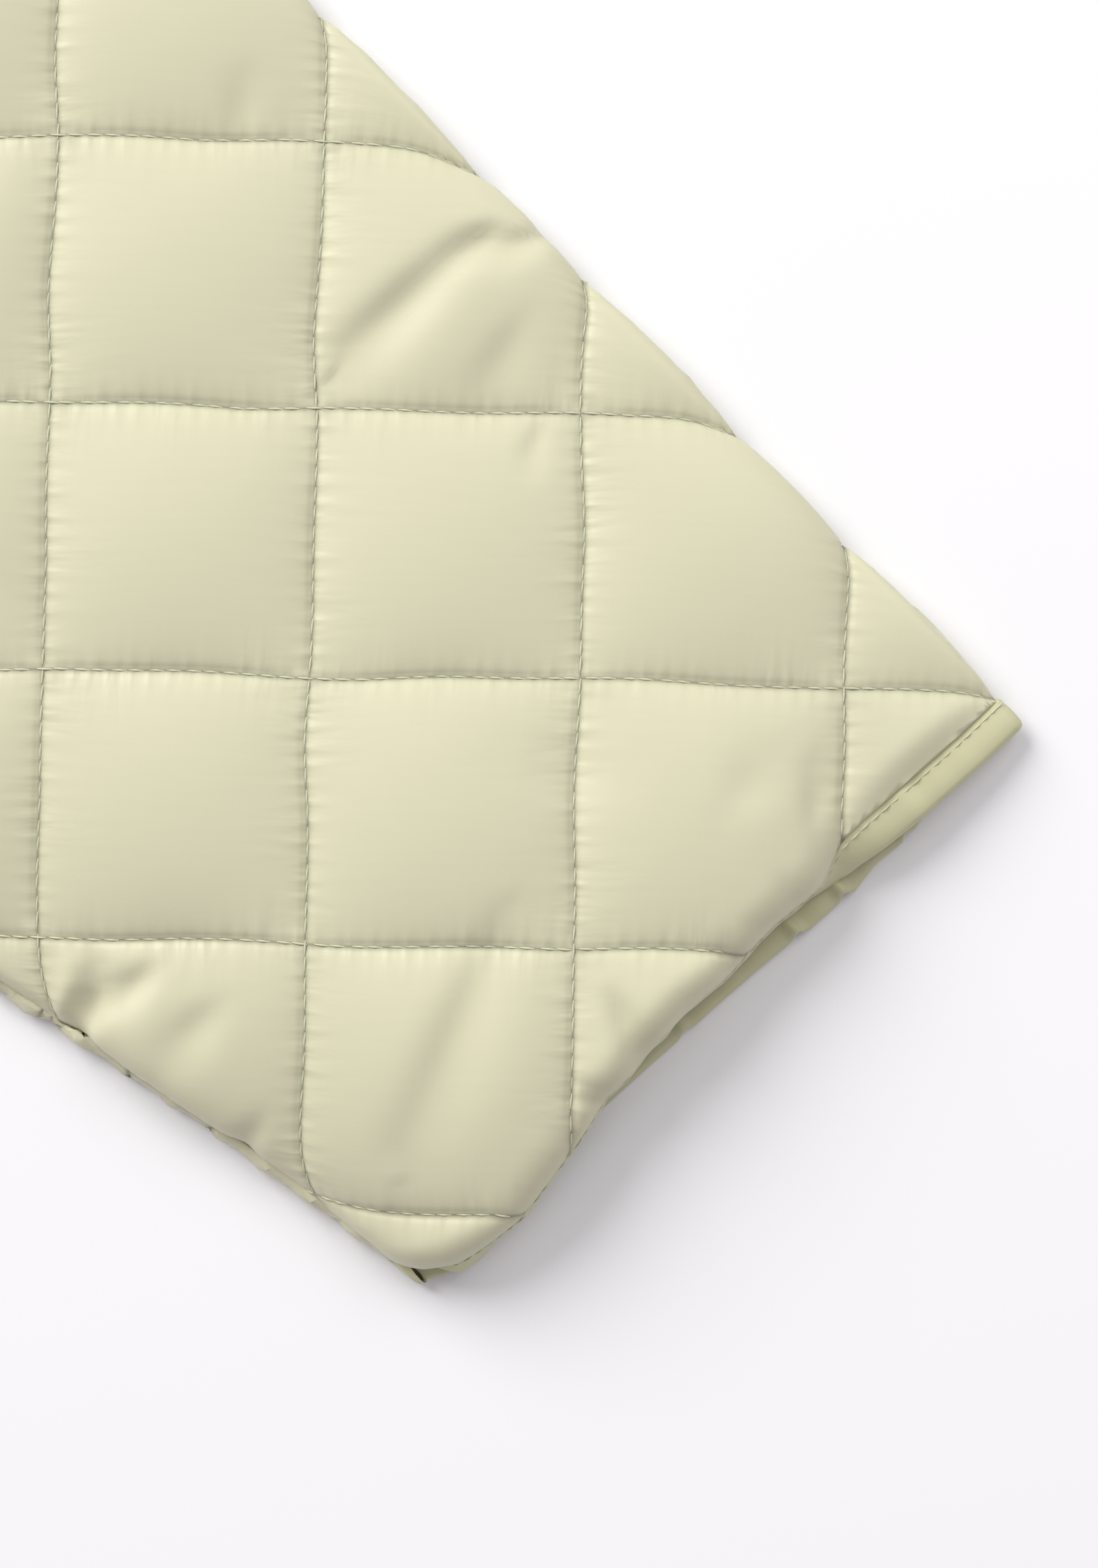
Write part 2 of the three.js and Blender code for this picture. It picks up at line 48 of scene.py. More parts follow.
# Sizes that several pieces share
body = {
    "length": 640 * mm, "chestHalf": 280 * mm, "hemHalf": 284 * mm, "shoulderHalf": 255 * mm,
    "shoulderFall": 45 * mm, "armholeDepth": 255 * mm, "armholeHollow": 12 * mm,
    "neckHalf": 88 * mm, "backNeck": 20 * mm, "frontNeck": 85 * mm, "overlap": 15 * mm,
}
seam = {"gap": 0.3 * mm, "band": 6.6 * mm, "pressed": 12 * mm}
inset = seam["band"] + seam["gap"]
wall = {"back": 3 * mm, "front": 2 * mm, "sleeve": 2.2 * mm}
frontLow = wall["back"] + seam["gap"]
overlapLift = wall["front"] + seam["gap"]
quilt = {"pitch": 48.3 * mm, "rise": 3.8 * mm, "stitch": 3.4 * mm, "bodyTurn": math.radians(45)}


def xy(x, y):
    return np.array([x, y], float)


def smooth(value, start, end):
    share = np.clip((value - start) / (end - start), 0, 1)
    return share * share * (3 - 2 * share)


def turned(points, angle):
    c, s = math.cos(angle), math.sin(angle)
    return points @ np.array([[c, s], [-s, c]])


# Outlines

def edgeDistance(points, path):
    # the distance to an open path and the nearest place on it
    best = np.full(len(points), np.inf)
    spot = np.zeros((len(points), 2))
    for a, b in zip(path[:-1], path[1:]):
        run = b - a
        share = np.clip((points - a) @ run / max(run @ run, 1e-12), 0, 1)
        here = a + share[:, None] * run
        far = np.linalg.norm(points - here, axis=1)
        nearer = far < best
        best[nearer], spot[nearer] = far[nearer], here[nearer]
    return best, spot


def insideOf(points, outline):
    inside = np.zeros(len(points), bool)
    for a, b in zip(outline, np.roll(outline, -1, axis=0)):
        spans = (a[1] > points[:, 1]) != (b[1] > points[:, 1])
        rise = (b[1] - a[1]) or 1e-12
        inside ^= spans & (points[:, 0] < (b[0] - a[0]) * (points[:, 1] - a[1]) / rise + a[0])
    return inside


def closed(outline):
    return np.vstack([outline, outline[:1]])


shoulderTip = xy(body["shoulderHalf"], body["length"] - body["shoulderFall"])
underarm = xy(body["chestHalf"], shoulderTip[1] - body["armholeDepth"])


def armholeLine(gap, steps=12):
    chord = (underarm - shoulderTip) / np.linalg.norm(underarm - shoulderTip)
    outward = xy(-chord[1], chord[0])
    middle = (shoulderTip + underarm) / 2 - 2 * body["armholeHollow"] * outward
    t = np.linspace(0, 1, steps + 1)[:, None]
    curve = (1 - t) ** 2 * shoulderTip + 2 * t * (1 - t) * middle + t * t * underarm
    return curve + gap * outward


def neckLine(depth, toX, steps=16):
    angle = np.linspace(0, math.acos(toX / body["neckHalf"]), steps + 1)
    return np.stack([body["neckHalf"] * np.cos(angle), body["length"] - depth * np.sin(angle)], axis=1)


def inwardAlong(edge):
    run = np.vstack([edge[1:], edge[-1:]]) - np.vstack([edge[:1], edge[:-1]])
    run /= np.linalg.norm(run, axis=1)[:, None]
    return np.stack([-run[:, 1], run[:, 0]], axis=1)


def behindBand(edge):
    return edge + inwardAlong(edge) * inset


def mirroredPath(path):
    return (path * xy(-1, 1))[::-1]


backNeckEdge = neckLine(body["backNeck"], -body["neckHalf"])
frontNeckEdge = neckLine(body["frontNeck"], -body["overlap"])


# The quilting

def wobble(points, seed=0.0):
    # a hand-fed stitch line wanders a little
    u, v = points[:, 0], points[:, 1]
    du = np.sin(v * 83 + seed) + 0.6 * np.sin(v * 171 + u * 31 + 2.1)
    dv = np.sin(u * 77 + 1.3 + seed) + 0.6 * np.sin(u * 163 + v * 29)
    return points + 0.28 * mm * np.stack([du, dv], axis=1)


def puffAt(points):
    # how far the padding swells between the stitch lines, from 0 at a line to 1
    swell = np.abs(np.sin(math.pi * points[:, 0] / quilt["pitch"])
                   * np.sin(math.pi * points[:, 1] / quilt["pitch"]))
    return swell ** 0.56


def ripple(along, line, seed):
    phase = line * 2.4 + seed
    patch = 0.5 + 0.5 * np.sin(along / mm * 0.19 + 1.3 * phase)
    return patch * (np.sin(along / mm * 0.93 + phase) + 0.8 * np.sin(along / mm * 0.61 + 1.7 * phase))


def puckersAt(points):
    # small pleats that run out from a stitch line and fade
    total = np.zeros(len(points))
    for axis in (0, 1):
        line = np.round(points[:, axis] / quilt["pitch"])
        away = points[:, axis] - line * quilt["pitch"]
        along = points[:, 1 - axis]
        near = np.exp(-np.abs(away) / (3.4 * mm)) * smooth(np.abs(away), 0.2 * mm, 1.6 * mm)
        total += near * ripple(along + 0.3 * away, line, 5 * axis + 0.9 * np.sign(away))
    return 0.08 * mm * total


# Building cloth from a flat pattern

def stepped(count, steps, squeeze):
    # positions over some squares, closer together near the stitch lines
    share = np.arange(count * steps + 1) / steps
    return share - squeeze * np.sin(2 * math.pi * share) / (2 * math.pi)


def clothPattern(name, outline, turn, crossing, steps, cuts=(), faceCuts=(), squeeze=0.35):
    # a closed flat pattern: its quilted face side is at z 0 and its wrong side at z -1;
    # the wrong side is cut at the given places, and the face side by planes of its own
    pitch = quilt["pitch"]
    local = turned(outline - crossing, -turn)
    low = np.floor(local.min(axis=0) / pitch - 0.05).astype(int)
    high = np.ceil(local.max(axis=0) / pitch + 0.05).astype(int)
    cells = high - low
    bm = bmesh.new()
    bmesh.ops.create_grid(bm, x_segments=int(cells[0] * steps), y_segments=int(cells[1] * steps), size=0.5)
    bm.verts.ensure_lookup_table()
    flat = np.array([v.co for v in bm.verts])[:, :2] + 0.5
    spot = np.empty_like(flat)
    for axis in (0, 1):
        places = stepped(cells[axis], steps, squeeze)
        index = np.rint(flat[:, axis] * cells[axis] * steps).astype(int)
        spot[:, axis] = (places[index] + low[axis]) * pitch
    cloth = turned(wobble(spot), turn) + crossing
    inside = insideOf(cloth, outline)
    _, nearest = edgeDistance(cloth, closed(outline))
    settled = np.where(inside[:, None], cloth, nearest)
    uv = bm.verts.layers.float_vector.new("quilt")
    for v, p, q in zip(bm.verts, settled.tolist(), spot.tolist()):
        v.co = (p[0], p[1], 0)
        v[uv] = (q[0] / pitch, q[1] / pitch, 0)
    keep = inside.tolist()
    gone = [f for f in bm.faces if not any(keep[v.index] for v in f.verts)]
    bmesh.ops.delete(bm, geom=gone, context="FACES")
    for place, normal in faceCuts:
        geom = [f for f in bm.faces if abs((f.verts[0].co - place).dot(normal)) < 4 * mm]
        geom += list({e for f in geom for e in f.edges}) + list({v for f in geom for v in f.verts})
        bmesh.ops.bisect_plane(bm, geom=geom, plane_co=place, plane_no=normal, dist=0.05 * mm)
    rim = [e for e in bm.edges if e.is_boundary]
    rimVerts = list({v for e in rim for v in e.verts})
    bmesh.ops.remove_doubles(bm, verts=rimVerts, dist=0.08 * mm)
    rim = [e for e in bm.edges if e.is_boundary]
    down = bmesh.ops.extrude_edge_only(bm, edges=rim)["geom"]
    lowVerts = [g for g in down if isinstance(g, bmesh.types.BMVert)]
    lowEdges = [g for g in down if isinstance(g, bmesh.types.BMEdge)]
    bmesh.ops.translate(bm, verts=lowVerts, vec=(0, 0, -1))
    loop = [e for e in lowEdges if e.is_boundary]
    under = bmesh.ops.edgeloop_fill(bm, edges=loop)["faces"]
    geom = under + list({e for f in under for e in f.edges}) + list({v for f in under for v in f.verts})
    for axis, places in enumerate(cuts):
        normal = Vector((1, 0, 0)) if axis == 0 else Vector((0, 1, 0))
        for place in places:
            geom = bmesh.ops.bisect_plane(bm, geom=geom, plane_co=normal * place, plane_no=normal)["geom"]
    bmesh.ops.recalc_face_normals(bm, faces=bm.faces)
    mesh = bpy.data.meshes.new(name)
    bm.to_mesh(mesh)
    bm.free()
    return mesh


def readPoints(mesh):
    flat = np.empty(len(mesh.vertices) * 3, np.float32)
    mesh.vertices.foreach_get("co", flat)
    return flat.reshape(-1, 3).astype(float)


def quiltPlaces(mesh):
    flat = np.empty(len(mesh.vertices) * 3, np.float32)
    mesh.attributes["quilt"].data.foreach_get("vector", flat)
    return flat.reshape(-1, 3)[:, :2].astype(float) * quilt["pitch"]


def addPiece(name, mesh, points, material):
    # the points are in the garment's own frame, which starts at the hem
    world = np.array(points, float)
    world[:, 1] -= body["length"] / 2
    mesh.vertices.foreach_set("co", world.astype(np.float32).ravel())
    mesh.polygons.foreach_set("use_smooth", [True] * len(mesh.polygons))
    mesh.materials.append(material)
    mesh.update()
    piece = bpy.data.objects.new(name, mesh)
    scene.collection.objects.link(piece)
    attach(piece, "root")
    return piece


def mirrorPiece(name, source):
    # the other side's copy, its faces turned back to look outwards
    bm = bmesh.new()
    bm.from_mesh(source.data)
    bmesh.ops.scale(bm, vec=(-1, 1, 1), verts=bm.verts)
    bmesh.ops.reverse_faces(bm, faces=bm.faces)
    mesh = bpy.data.meshes.new(name)
    bm.to_mesh(mesh)
    bm.free()
    mesh.materials.append(source.data.materials[0])
    piece = bpy.data.objects.new(name, mesh)
    scene.collection.objects.link(piece)
    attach(piece, "root")
    return piece


# Stitches

def stitchForm(length, radius, sides, rows, sag):
    # one stitch lying along Y, its two ends dipping into the cloth
    bm = bmesh.new()
    bmesh.ops.create_cone(bm, cap_ends=False, segments=sides, radius1=radius, radius2=radius, depth=length)
    if rows > 1:
        long = [e for e in bm.edges if abs(e.verts[0].co.z - e.verts[1].co.z) > length / 2]
        bmesh.ops.subdivide_edges(bm, edges=long, cuts=rows - 1)
    for v in bm.verts:
        share = 2 * v.co.z / length
        thin = 1 - 0.45 * abs(share) ** 3
        v.co = (v.co.x * thin, v.co.z, v.co.y * thin - sag * share * share)
    bmesh.ops.recalc_face_normals(bm, faces=bm.faces)
    points = np.array([v.co for v in bm.verts])
    faces = np.array([[v.index for v in f.verts] for f in bm.faces])
    bm.free()
    return points, faces


stitchSlant = math.radians(3.5)
stitchForms = {
    "plain": stitchForm(2.8 * mm, 0.22 * mm, 5, 2, 0.22 * mm),
    "small": stitchForm(2.3 * mm, 0.16 * mm, 4, 2, 0.16 * mm),
}


def stitchRows(name, places, runs, ups, form, material):
    # one joined mesh with a stitch at every place, laid along its run and standing off along its up
    points, faces = stitchForms[form]
    runs = runs / np.linalg.norm(runs, axis=1)[:, None]
    sides = np.cross(runs, ups)
    sides /= np.linalg.norm(sides, axis=1)[:, None]
    ups = np.cross(sides, runs)
    straight = runs
    runs = straight * math.cos(stitchSlant) + sides * math.sin(stitchSlant)
    sides = sides * math.cos(stitchSlant) - straight * math.sin(stitchSlant)
    world = (places[:, None] + points[None, :, :1] * sides[:, None]
             + points[None, :, 1:2] * runs[:, None] + points[None, :, 2:] * ups[:, None])
    mesh = bpy.data.meshes.new(name)
    starts = (np.arange(len(places)) * len(points))[:, None, None]
    allFaces = (faces[None] + starts).reshape(-1, faces.shape[1])
    allPoints = world.reshape(-1, 3)
    mesh.from_pydata(allPoints.tolist(), [], allFaces.tolist())
    return addPiece(name, mesh, allPoints, material)


def quiltStitches(outline, turn, crossing, margin=1.5 * mm):
    # middles and two near points of every stitch on the pattern, in the pattern's own plane
    pitch, step = quilt["pitch"], quilt["stitch"]
    local = turned(outline - crossing, -turn)
    low, high = local.min(axis=0), local.max(axis=0)
    found = []
    for axis in (0, 1):
        for line in range(math.ceil(low[axis] / pitch), math.floor(high[axis] / pitch) + 1):
            along = np.arange(low[1 - axis], high[1 - axis], step)
            along += 0.35 * mm * np.sin(along / mm * 0.9 + line)
            ends = []
            for shift in (0, -0.6 * mm, 0.6 * mm):
                spot = np.full((len(along), 2), line * pitch)
                spot[:, 1 - axis] = along + shift
                ends.append(spot)
            found.append(np.stack(ends, axis=1))
    spots = np.concatenate(found)
    flat = turned(wobble(spots.reshape(-1, 2)), turn) + crossing
    flat = flat.reshape(-1, 3, 2)
    far, _ = edgeDistance(flat[:, 0], closed(outline))
    return flat[insideOf(flat[:, 0], outline) & (far > margin)]


# Materials

# seamPaintedShade is the share of the colour kept in the painted shade along the stitch lines
finish = {
    "shell": (0.628, 0.61, 0.435), "band": (0.57, 0.56, 0.355), "thread": (0.57, 0.585, 0.41),
    "stud": (0.55, 0.53, 0.37), "floor": (0.895, 0.89, 0.915), "roughness": 0.42, "sheen": 0.15,
    "mottle": 0.02, "seamPaintedShade": 0.46, "pleatDepth": 0.46 * mm, "grainDepth": 0.05 * mm,
}
# fades and rates for one quilt square; a patch of long pleats starts where its noise is past a level
pleat = {
    "shortFade": 24.0, "longFade": 9.0, "lineFade": 120.0, "rate": 19.0, "drift": 4.0,
    "patchScale": 0.16, "patchLevel": 0.52, "patchGain": 5.0, "patchMost": 0.7, "scallop": 0.26,
}


def newMaterial(name):
    material = bpy.data.materials.new(name)
    material.use_nodes = True
    return material, material.node_tree.nodes, material.node_tree.links


def mathNode(tree, kind, a, b=None):
    node = tree.nodes.new("ShaderNodeMath")
    node.operation = kind
    for socket, value in zip(node.inputs, (a, b)):
        if value is None:
            continue
        if isinstance(value, (int, float)):
            socket.default_value = value
        else:
            tree.links.new(value, socket)
    return node.outputs[0]


def fadeFrom(tree, away, rate):
    return mathNode(tree, "EXPONENT", mathNode(tree, "MULTIPLY", away, -rate))


def seamReliefGroup():
    # fine pleats beside the stitch lines, from the quilt's own coordinates: short ones, patches of longer
    # ones, and a small scallop for each stitch; also a mask along each stitch line for the painted shade in
    # its valley
    group = bpy.data.node_groups.new("seamRelief", "ShaderNodeTree")
    group.interface.new_socket("Quilt", in_out="INPUT", socket_type="NodeSocketVector")
    group.interface.new_socket("Height", in_out="OUTPUT", socket_type="NodeSocketFloat")
    group.interface.new_socket("Line", in_out="OUTPUT", socket_type="NodeSocketFloat")
    start = group.nodes.new("NodeGroupInput")
    end = group.nodes.new("NodeGroupOutput")
    split = group.nodes.new("ShaderNodeSeparateXYZ")
    group.links.new(start.outputs["Quilt"], split.inputs[0])
    stitchTurn = 2 * math.pi * quilt["pitch"] / quilt["stitch"]
    total, stitchLine = None, None
    for axis in (0, 1):
        across, along = split.outputs[axis], split.outputs[1 - axis]
        line = mathNode(group, "ROUND", across)
        away = mathNode(group, "ABSOLUTE", mathNode(group, "SUBTRACT", across, line))
        shortFade = fadeFrom(group, away, pleat["shortFade"])
        longFade = fadeFrom(group, away, pleat["longFade"])
        side = mathNode(group, "SIGN", mathNode(group, "SUBTRACT", across, line))
        place = group.nodes.new("ShaderNodeCombineXYZ")
        group.links.new(mathNode(group, "MULTIPLY", along, pleat["rate"]), place.inputs[0])
        group.links.new(mathNode(group, "MULTIPLY", away, pleat["drift"]), place.inputs[1])
        seed = mathNode(group, "MULTIPLY", line, 7.3)
        seed = mathNode(group, "ADD", seed, mathNode(group, "MULTIPLY", side, 3.1))
        group.links.new(mathNode(group, "ADD", seed, 40.0 * axis), place.inputs[2])
        noise = group.nodes.new("ShaderNodeTexNoise")
        noise.inputs["Scale"].default_value = 1.0
        noise.inputs["Detail"].default_value = 1.5
        group.links.new(place.outputs[0], noise.inputs["Vector"])
        patch = group.nodes.new("ShaderNodeTexNoise")
        patch.inputs["Scale"].default_value = pleat["patchScale"]
        patch.inputs["Detail"].default_value = 0.0
        group.links.new(place.outputs[0], patch.inputs["Vector"])
        share = mathNode(group, "SUBTRACT", patch.outputs["Fac"], pleat["patchLevel"])
        share = mathNode(group, "MULTIPLY", share, pleat["patchGain"])
        share = mathNode(group, "MAXIMUM", mathNode(group, "MINIMUM", share, pleat["patchMost"]), 0.0)
        fade = mathNode(group, "ADD", shortFade, mathNode(group, "MULTIPLY", longFade, share))
        pleats = mathNode(group, "MULTIPLY", mathNode(group, "SUBTRACT", noise.outputs["Fac"], 0.5), fade)
        wave = mathNode(group, "SINE", mathNode(group, "MULTIPLY", along, stitchTurn))
        scallop = mathNode(group, "MULTIPLY", wave, shortFade)
        scallop = mathNode(group, "MULTIPLY", scallop, noise.outputs["Fac"])
        pleats = mathNode(group, "ADD", pleats, mathNode(group, "MULTIPLY", scallop, pleat["scallop"]))
        total = pleats if total is None else mathNode(group, "ADD", total, pleats)
        # mask for the painted shade: full on the stitch line, fading within a fraction of a millimetre
        paintedSeamShade = fadeFrom(group, away, pleat["lineFade"])
        stitchLine = paintedSeamShade if stitchLine is None else mathNode(group, "MAXIMUM", stitchLine, paintedSeamShade)
    group.links.new(total, end.inputs["Height"])
    group.links.new(stitchLine, end.inputs["Line"])
    return group


seamRelief = seamReliefGroup()


def clothMaterial(name, color, isQuilted):
    material, nodes, links = newMaterial(name)
    shader = nodes["Principled BSDF"]
    shader.inputs["Roughness"].default_value = finish["roughness"]
    shader.inputs["Specular IOR Level"].default_value = 0.35
    shader.inputs["Sheen Weight"].default_value = finish["sheen"]
    shader.inputs["Sheen Roughness"].default_value = 0.4
    place = nodes.new("ShaderNodeTexCoord")
    cut = nodes.new("ShaderNodeAttribute")
    cut.attribute_name = "quilt"
    stretch = nodes.new("ShaderNodeMapping")
    stretch.inputs["Scale"].default_value = (3.0, 42.0, 1.0) if isQuilted else (38.0, 38.0, 38.0)
    links.new(cut.outputs["Vector"] if isQuilted else place.outputs["Object"], stretch.inputs["Vector"])
    streaks = nodes.new("ShaderNodeTexNoise")
    streaks.inputs["Scale"].default_value = 1.0
    streaks.inputs["Detail"].default_value = 3.0
    links.new(stretch.outputs["Vector"], streaks.inputs["Vector"])
    tint = nodes.new("ShaderNodeMixRGB")
    tint.inputs["Color1"].default_value = (*[c * (1 - finish["mottle"]) for c in color], 1)
    tint.inputs["Color2"].default_value = (*[c * (1 + finish["mottle"]) for c in color], 1)
    links.new(streaks.outputs["Fac"], tint.inputs["Fac"])
    cloth = tint.outputs["Color"]
    weave = nodes.new("ShaderNodeTexNoise")
    weave.inputs["Scale"].default_value = 2600.0
    weave.inputs["Detail"].default_value = 2.0
    links.new(place.outputs["Object"], weave.inputs["Vector"])
    grain = nodes.new("ShaderNodeBump")
    grain.inputs["Strength"].default_value = 0.22
    grain.inputs["Distance"].default_value = finish["grainDepth"]
    links.new(weave.outputs["Fac"], grain.inputs["Height"])
    last = grain
    if isQuilted:
        relief = nodes.new("ShaderNodeGroup")
        relief.node_tree = seamRelief
        links.new(cut.outputs["Vector"], relief.inputs["Quilt"])
        # painted shade: the cloth's colour is darkened along each stitch line, standing in for the shadow
        # in its valley
        paintedSeamShade = nodes.new("ShaderNodeMixRGB")
        paintedSeamShade.inputs["Color2"].default_value = (*[c * finish["seamPaintedShade"] for c in color], 1)
        links.new(relief.outputs["Line"], paintedSeamShade.inputs["Fac"])
        links.new(cloth, paintedSeamShade.inputs["Color1"])
        cloth = paintedSeamShade.outputs["Color"]
        pleats = nodes.new("ShaderNodeBump")
        pleats.inputs["Strength"].default_value = 1.0
        pleats.inputs["Distance"].default_value = finish["pleatDepth"]
        links.new(relief.outputs["Height"], pleats.inputs["Height"])
        links.new(grain.outputs["Normal"], pleats.inputs["Normal"])
        last = pleats
    links.new(cloth, shader.inputs["Base Color"])
    links.new(last.outputs["Normal"], shader.inputs["Normal"])
    return material


shellCloth = clothMaterial("shellCloth", finish["shell"], True)
# the band's colour is partly the binding's own darker tone and partly painted shade: made more olive, like
# the shadowed lip under the cuff's roll
bandCloth = clothMaterial("bandCloth", finish["band"], False)


def threadMaterial():
    material, nodes, _ = newMaterial("thread")
    shader = nodes["Principled BSDF"]
    shader.inputs["Base Color"].default_value = (*finish["thread"], 1)
    shader.inputs["Roughness"].default_value = 0.5
    return material


def studMaterial():
    material, nodes, _ = newMaterial("studLacquer")
    shader = nodes["Principled BSDF"]
    shader.inputs["Base Color"].default_value = (*finish["stud"], 1)
    shader.inputs["Roughness"].default_value = 0.28
    shader.inputs["Metallic"].default_value = 0.15
    return material


thread = threadMaterial()
studLacquer = studMaterial()
print("materials made")


# The sleeve

sleeve = {
    "length": 500 * mm, "slope": math.radians(25), "turn": math.radians(19.1), "anchor": 75 * mm,
    "cuff": 149.5 * mm, "slant": 5.3 * mm, "fold": 3.5 * mm, "foldMiddle": 2.7 * mm,
    "bend": 3 * mm, "bendAngle": math.radians(82), "bandDrop": 10.6 * mm,
    "mouth": 495 * mm, "inMouth": 490 * mm, "topFloor": 3.6 * mm,
    "seamBack": 3.6 * mm, "cornerOver": 1.7 * mm, "cornerRise": 0.9 * mm, "cornerFrom": 462 * mm,
    "droop": 0.42, "droopAt": 20 * mm, "droopWidth": 24 * mm, "middleWidth": 185 * mm,
    "bandStitchBack": 5.8 * mm, "bandStitchPitch": 2.5 * mm,
}
half = wall["sleeve"] / 2
alongWay = xy(math.cos(sleeve["slope"]), -math.sin(sleeve["slope"]))
acrossWay = xy(-math.sin(sleeve["slope"]), -math.cos(sleeve["slope"]))

# place down the sleeve in mm, the crest's height there, and where across the sleeve it lies
crests = np.array([
    (-20, 6.4, 0.5), (200, 6.8, 0.5), (330, 8.2, 0.52),
    (410, 11.5, 0.58), (465, 15, 0.64), (520, 15.6, 0.66),
])

# place across the cuff in mm, how far past the sleeve's length the cloth reaches, and how fully the upper
# one rolls in
cuffTop = np.array([
    (0, 0, 0), (11, -0.3, 0), (25, -1.2, 0.03), (34, -2, 0.16),
    (39, -2.2, 0.36), (43, -0.6, 0.7), (47.4, 1.2, 1),
    (58, 0, 1), (71, 0.6, 1), (80, -0.3, 1), (91.5, 0.2, 1),
    (96.5, 0.9, 1), (101.7, 0.7, 1), (111, 3, 1), (118, 4, 1),
    (128, 5.6, 1), (136, 4.6, 0.95), (142, 3, 0.7), (146, -0.4, 0.35), (149.5, -5.3, 0),
])
cuffUnder = np.array([
    (0, 0), (25, -1), (28, -0.4), (29.5, -1.3), (31, -0.3),
    (37, -1), (43.5, -0.1), (45, -1.6), (46.5, -0.6),
    (54.5, -1), (56, -2.4), (57.5, -1.6), (66, -2.4),
    (75.5, -3), (81, -3.2), (83, -4), (85, -3.4), (90, -3.7),
    (104, -4.3), (110, -4.6), (116, -3), (130, -0.9), (137, -0.9), (146, -3), (149.5, -5.3),
])
stations = np.arange(-30, 531, 10) * mm
clothRange = np.arange(-270, 271, 0.5) * mm


def inSleeve(points):
    away = points - shoulderTip
    return np.stack([away @ alongWay, away @ acrossWay], axis=1)


sleeveAtUnderarm = inSleeve(underarm[None])[0]


def sleeveWidth(along):
    reach = sleeve["length"] - sleeve["slant"] - sleeveAtUnderarm[0]
    share = (along - sleeveAtUnderarm[0]) / reach
    return sleeveAtUnderarm[1] + share * (sleeve["cuff"] - sleeveAtUnderarm[1])


def crestAlong():
    # the crest heights down the sleeve, eased over 40 mm
    fine = np.arange(-40, 561, 5)
    eased = np.convolve(np.interp(fine, crests[:, 0], crests[:, 1]), np.ones(9) / 9, "valid")
    return np.interp(stations / mm, fine[4:-4], eased) * mm


def underPath(along, width):
    # from the underarm seam, a little up on the top, round the edge and over the floor to the fold
    wander = 1 + math.sin(along / mm * 0.06 + 0.4 * math.sin(along / mm * 0.21))
    reach = width - 1.2 * mm - 0.35 * mm * wander
    rolled = [(-2, 2.6), (-1, 2.55), (-0.4, 2.35), (0, 1.95), (-0.15, 1.45), (-0.8, 1.15)]
    edge = np.array(rolled) * mm + xy(reach, 0)
    floor = np.stack([np.linspace(reach - 1.6 * mm, sleeve["fold"] + half, 60), np.full(60, half)], axis=1)
    angle = np.linspace(0, math.pi / 2, 14)[1:-1]
    lift = (sleeve["foldMiddle"] - half) * np.cos(angle)
    fold = np.stack([half + sleeve["fold"] * (1 - np.sin(angle)), sleeve["foldMiddle"] - lift], axis=1)
    return np.vstack([edge, floor, fold])


def topPath(along, width, crest, crestAt):
    # full at the fold and falling more gently to the underarm; the cuff droops beside the fold
    # and its corner lies over the seam
    steep, gentle = 0.33, 0.5
    atCuff = smooth(along, sleeve["cornerFrom"], 486 * mm)
    peak = steep / (steep + gentle)
    share = (1 - np.cos(np.linspace(0, math.pi, 241))) / 2
    skewed = share ** (math.log(peak) / math.log(crestAt))
    rise = (skewed / peak) ** steep * ((1 - skewed) / (1 - peak)) ** gentle
    low = sleeve["foldMiddle"] + sleeve["cornerRise"] * atCuff * share
    across = half + share * (width - sleeve["seamBack"] + sleeve["cornerOver"] * atCuff - half)
    droop = np.exp(-(((across - sleeve["droopAt"]) / sleeve["droopWidth"]) ** 2))
    droop *= sleeve["droop"] * smooth(along, sleeve["cornerFrom"], 505 * mm)
    return np.stack([across, low + (crest - half - low) * rise * (1 - droop)], axis=1)


def fullness(along, across, width):
    # extra cloth where the sleeve turns down at its two edges, which bends the stitch lines there
    atFold = np.interp(along / mm, [300, 364, 428, 492], [1.1, 1.65, 1.1, 0.9])
    atSeam = np.interp(along / mm, [300, 421, 471, 500], [0.9, 1.65, 0.95, 0.6])
    fold = atFold * np.exp(-((across / (4 * mm)) ** 2))
    return 1 + fold + atSeam * np.exp(-(((width - across) / (7 * mm)) ** 2))


def sectionTables():
    across, height, ends = [], [], []
    for along, crest in zip(stations, crestAlong()):
        width = sleeveWidth(along)
        under = underPath(along, width)
        top = topPath(along, width, crest, np.interp(along / mm, crests[:, 0], crests[:, 2]))
        path = np.vstack([under, top])
        steps = np.linalg.norm(np.diff(path, axis=0), axis=1)
        steps[len(under):] *= fullness(along, top[:-1, 0], width)
        run = np.concatenate([[0], np.cumsum(steps)])
        onTop = len(under) + int(np.argmin(np.abs(top[:, 0] - sleeve["anchor"])))
        run += sleeve["anchor"] - run[onTop]
        across.append(np.interp(clothRange, run, path[:, 0]))
        height.append(np.interp(clothRange, run, path[:, 1]))
        ends.append((run[0], run[len(under)], run[-1]))
    return np.array(across), np.array(height), np.array(ends).T


acrossTable, heightTable, (edgeBelow, edgeFold, edgeTop) = sectionTables()
runAcross = np.gradient(acrossTable, clothRange, axis=1)
runHeight = np.gradient(heightTable, clothRange, axis=1)
runSize = np.maximum(np.hypot(runAcross, runHeight), 1e-9)
outAcross, outHeight = -runHeight / runSize, runAcross / runSize


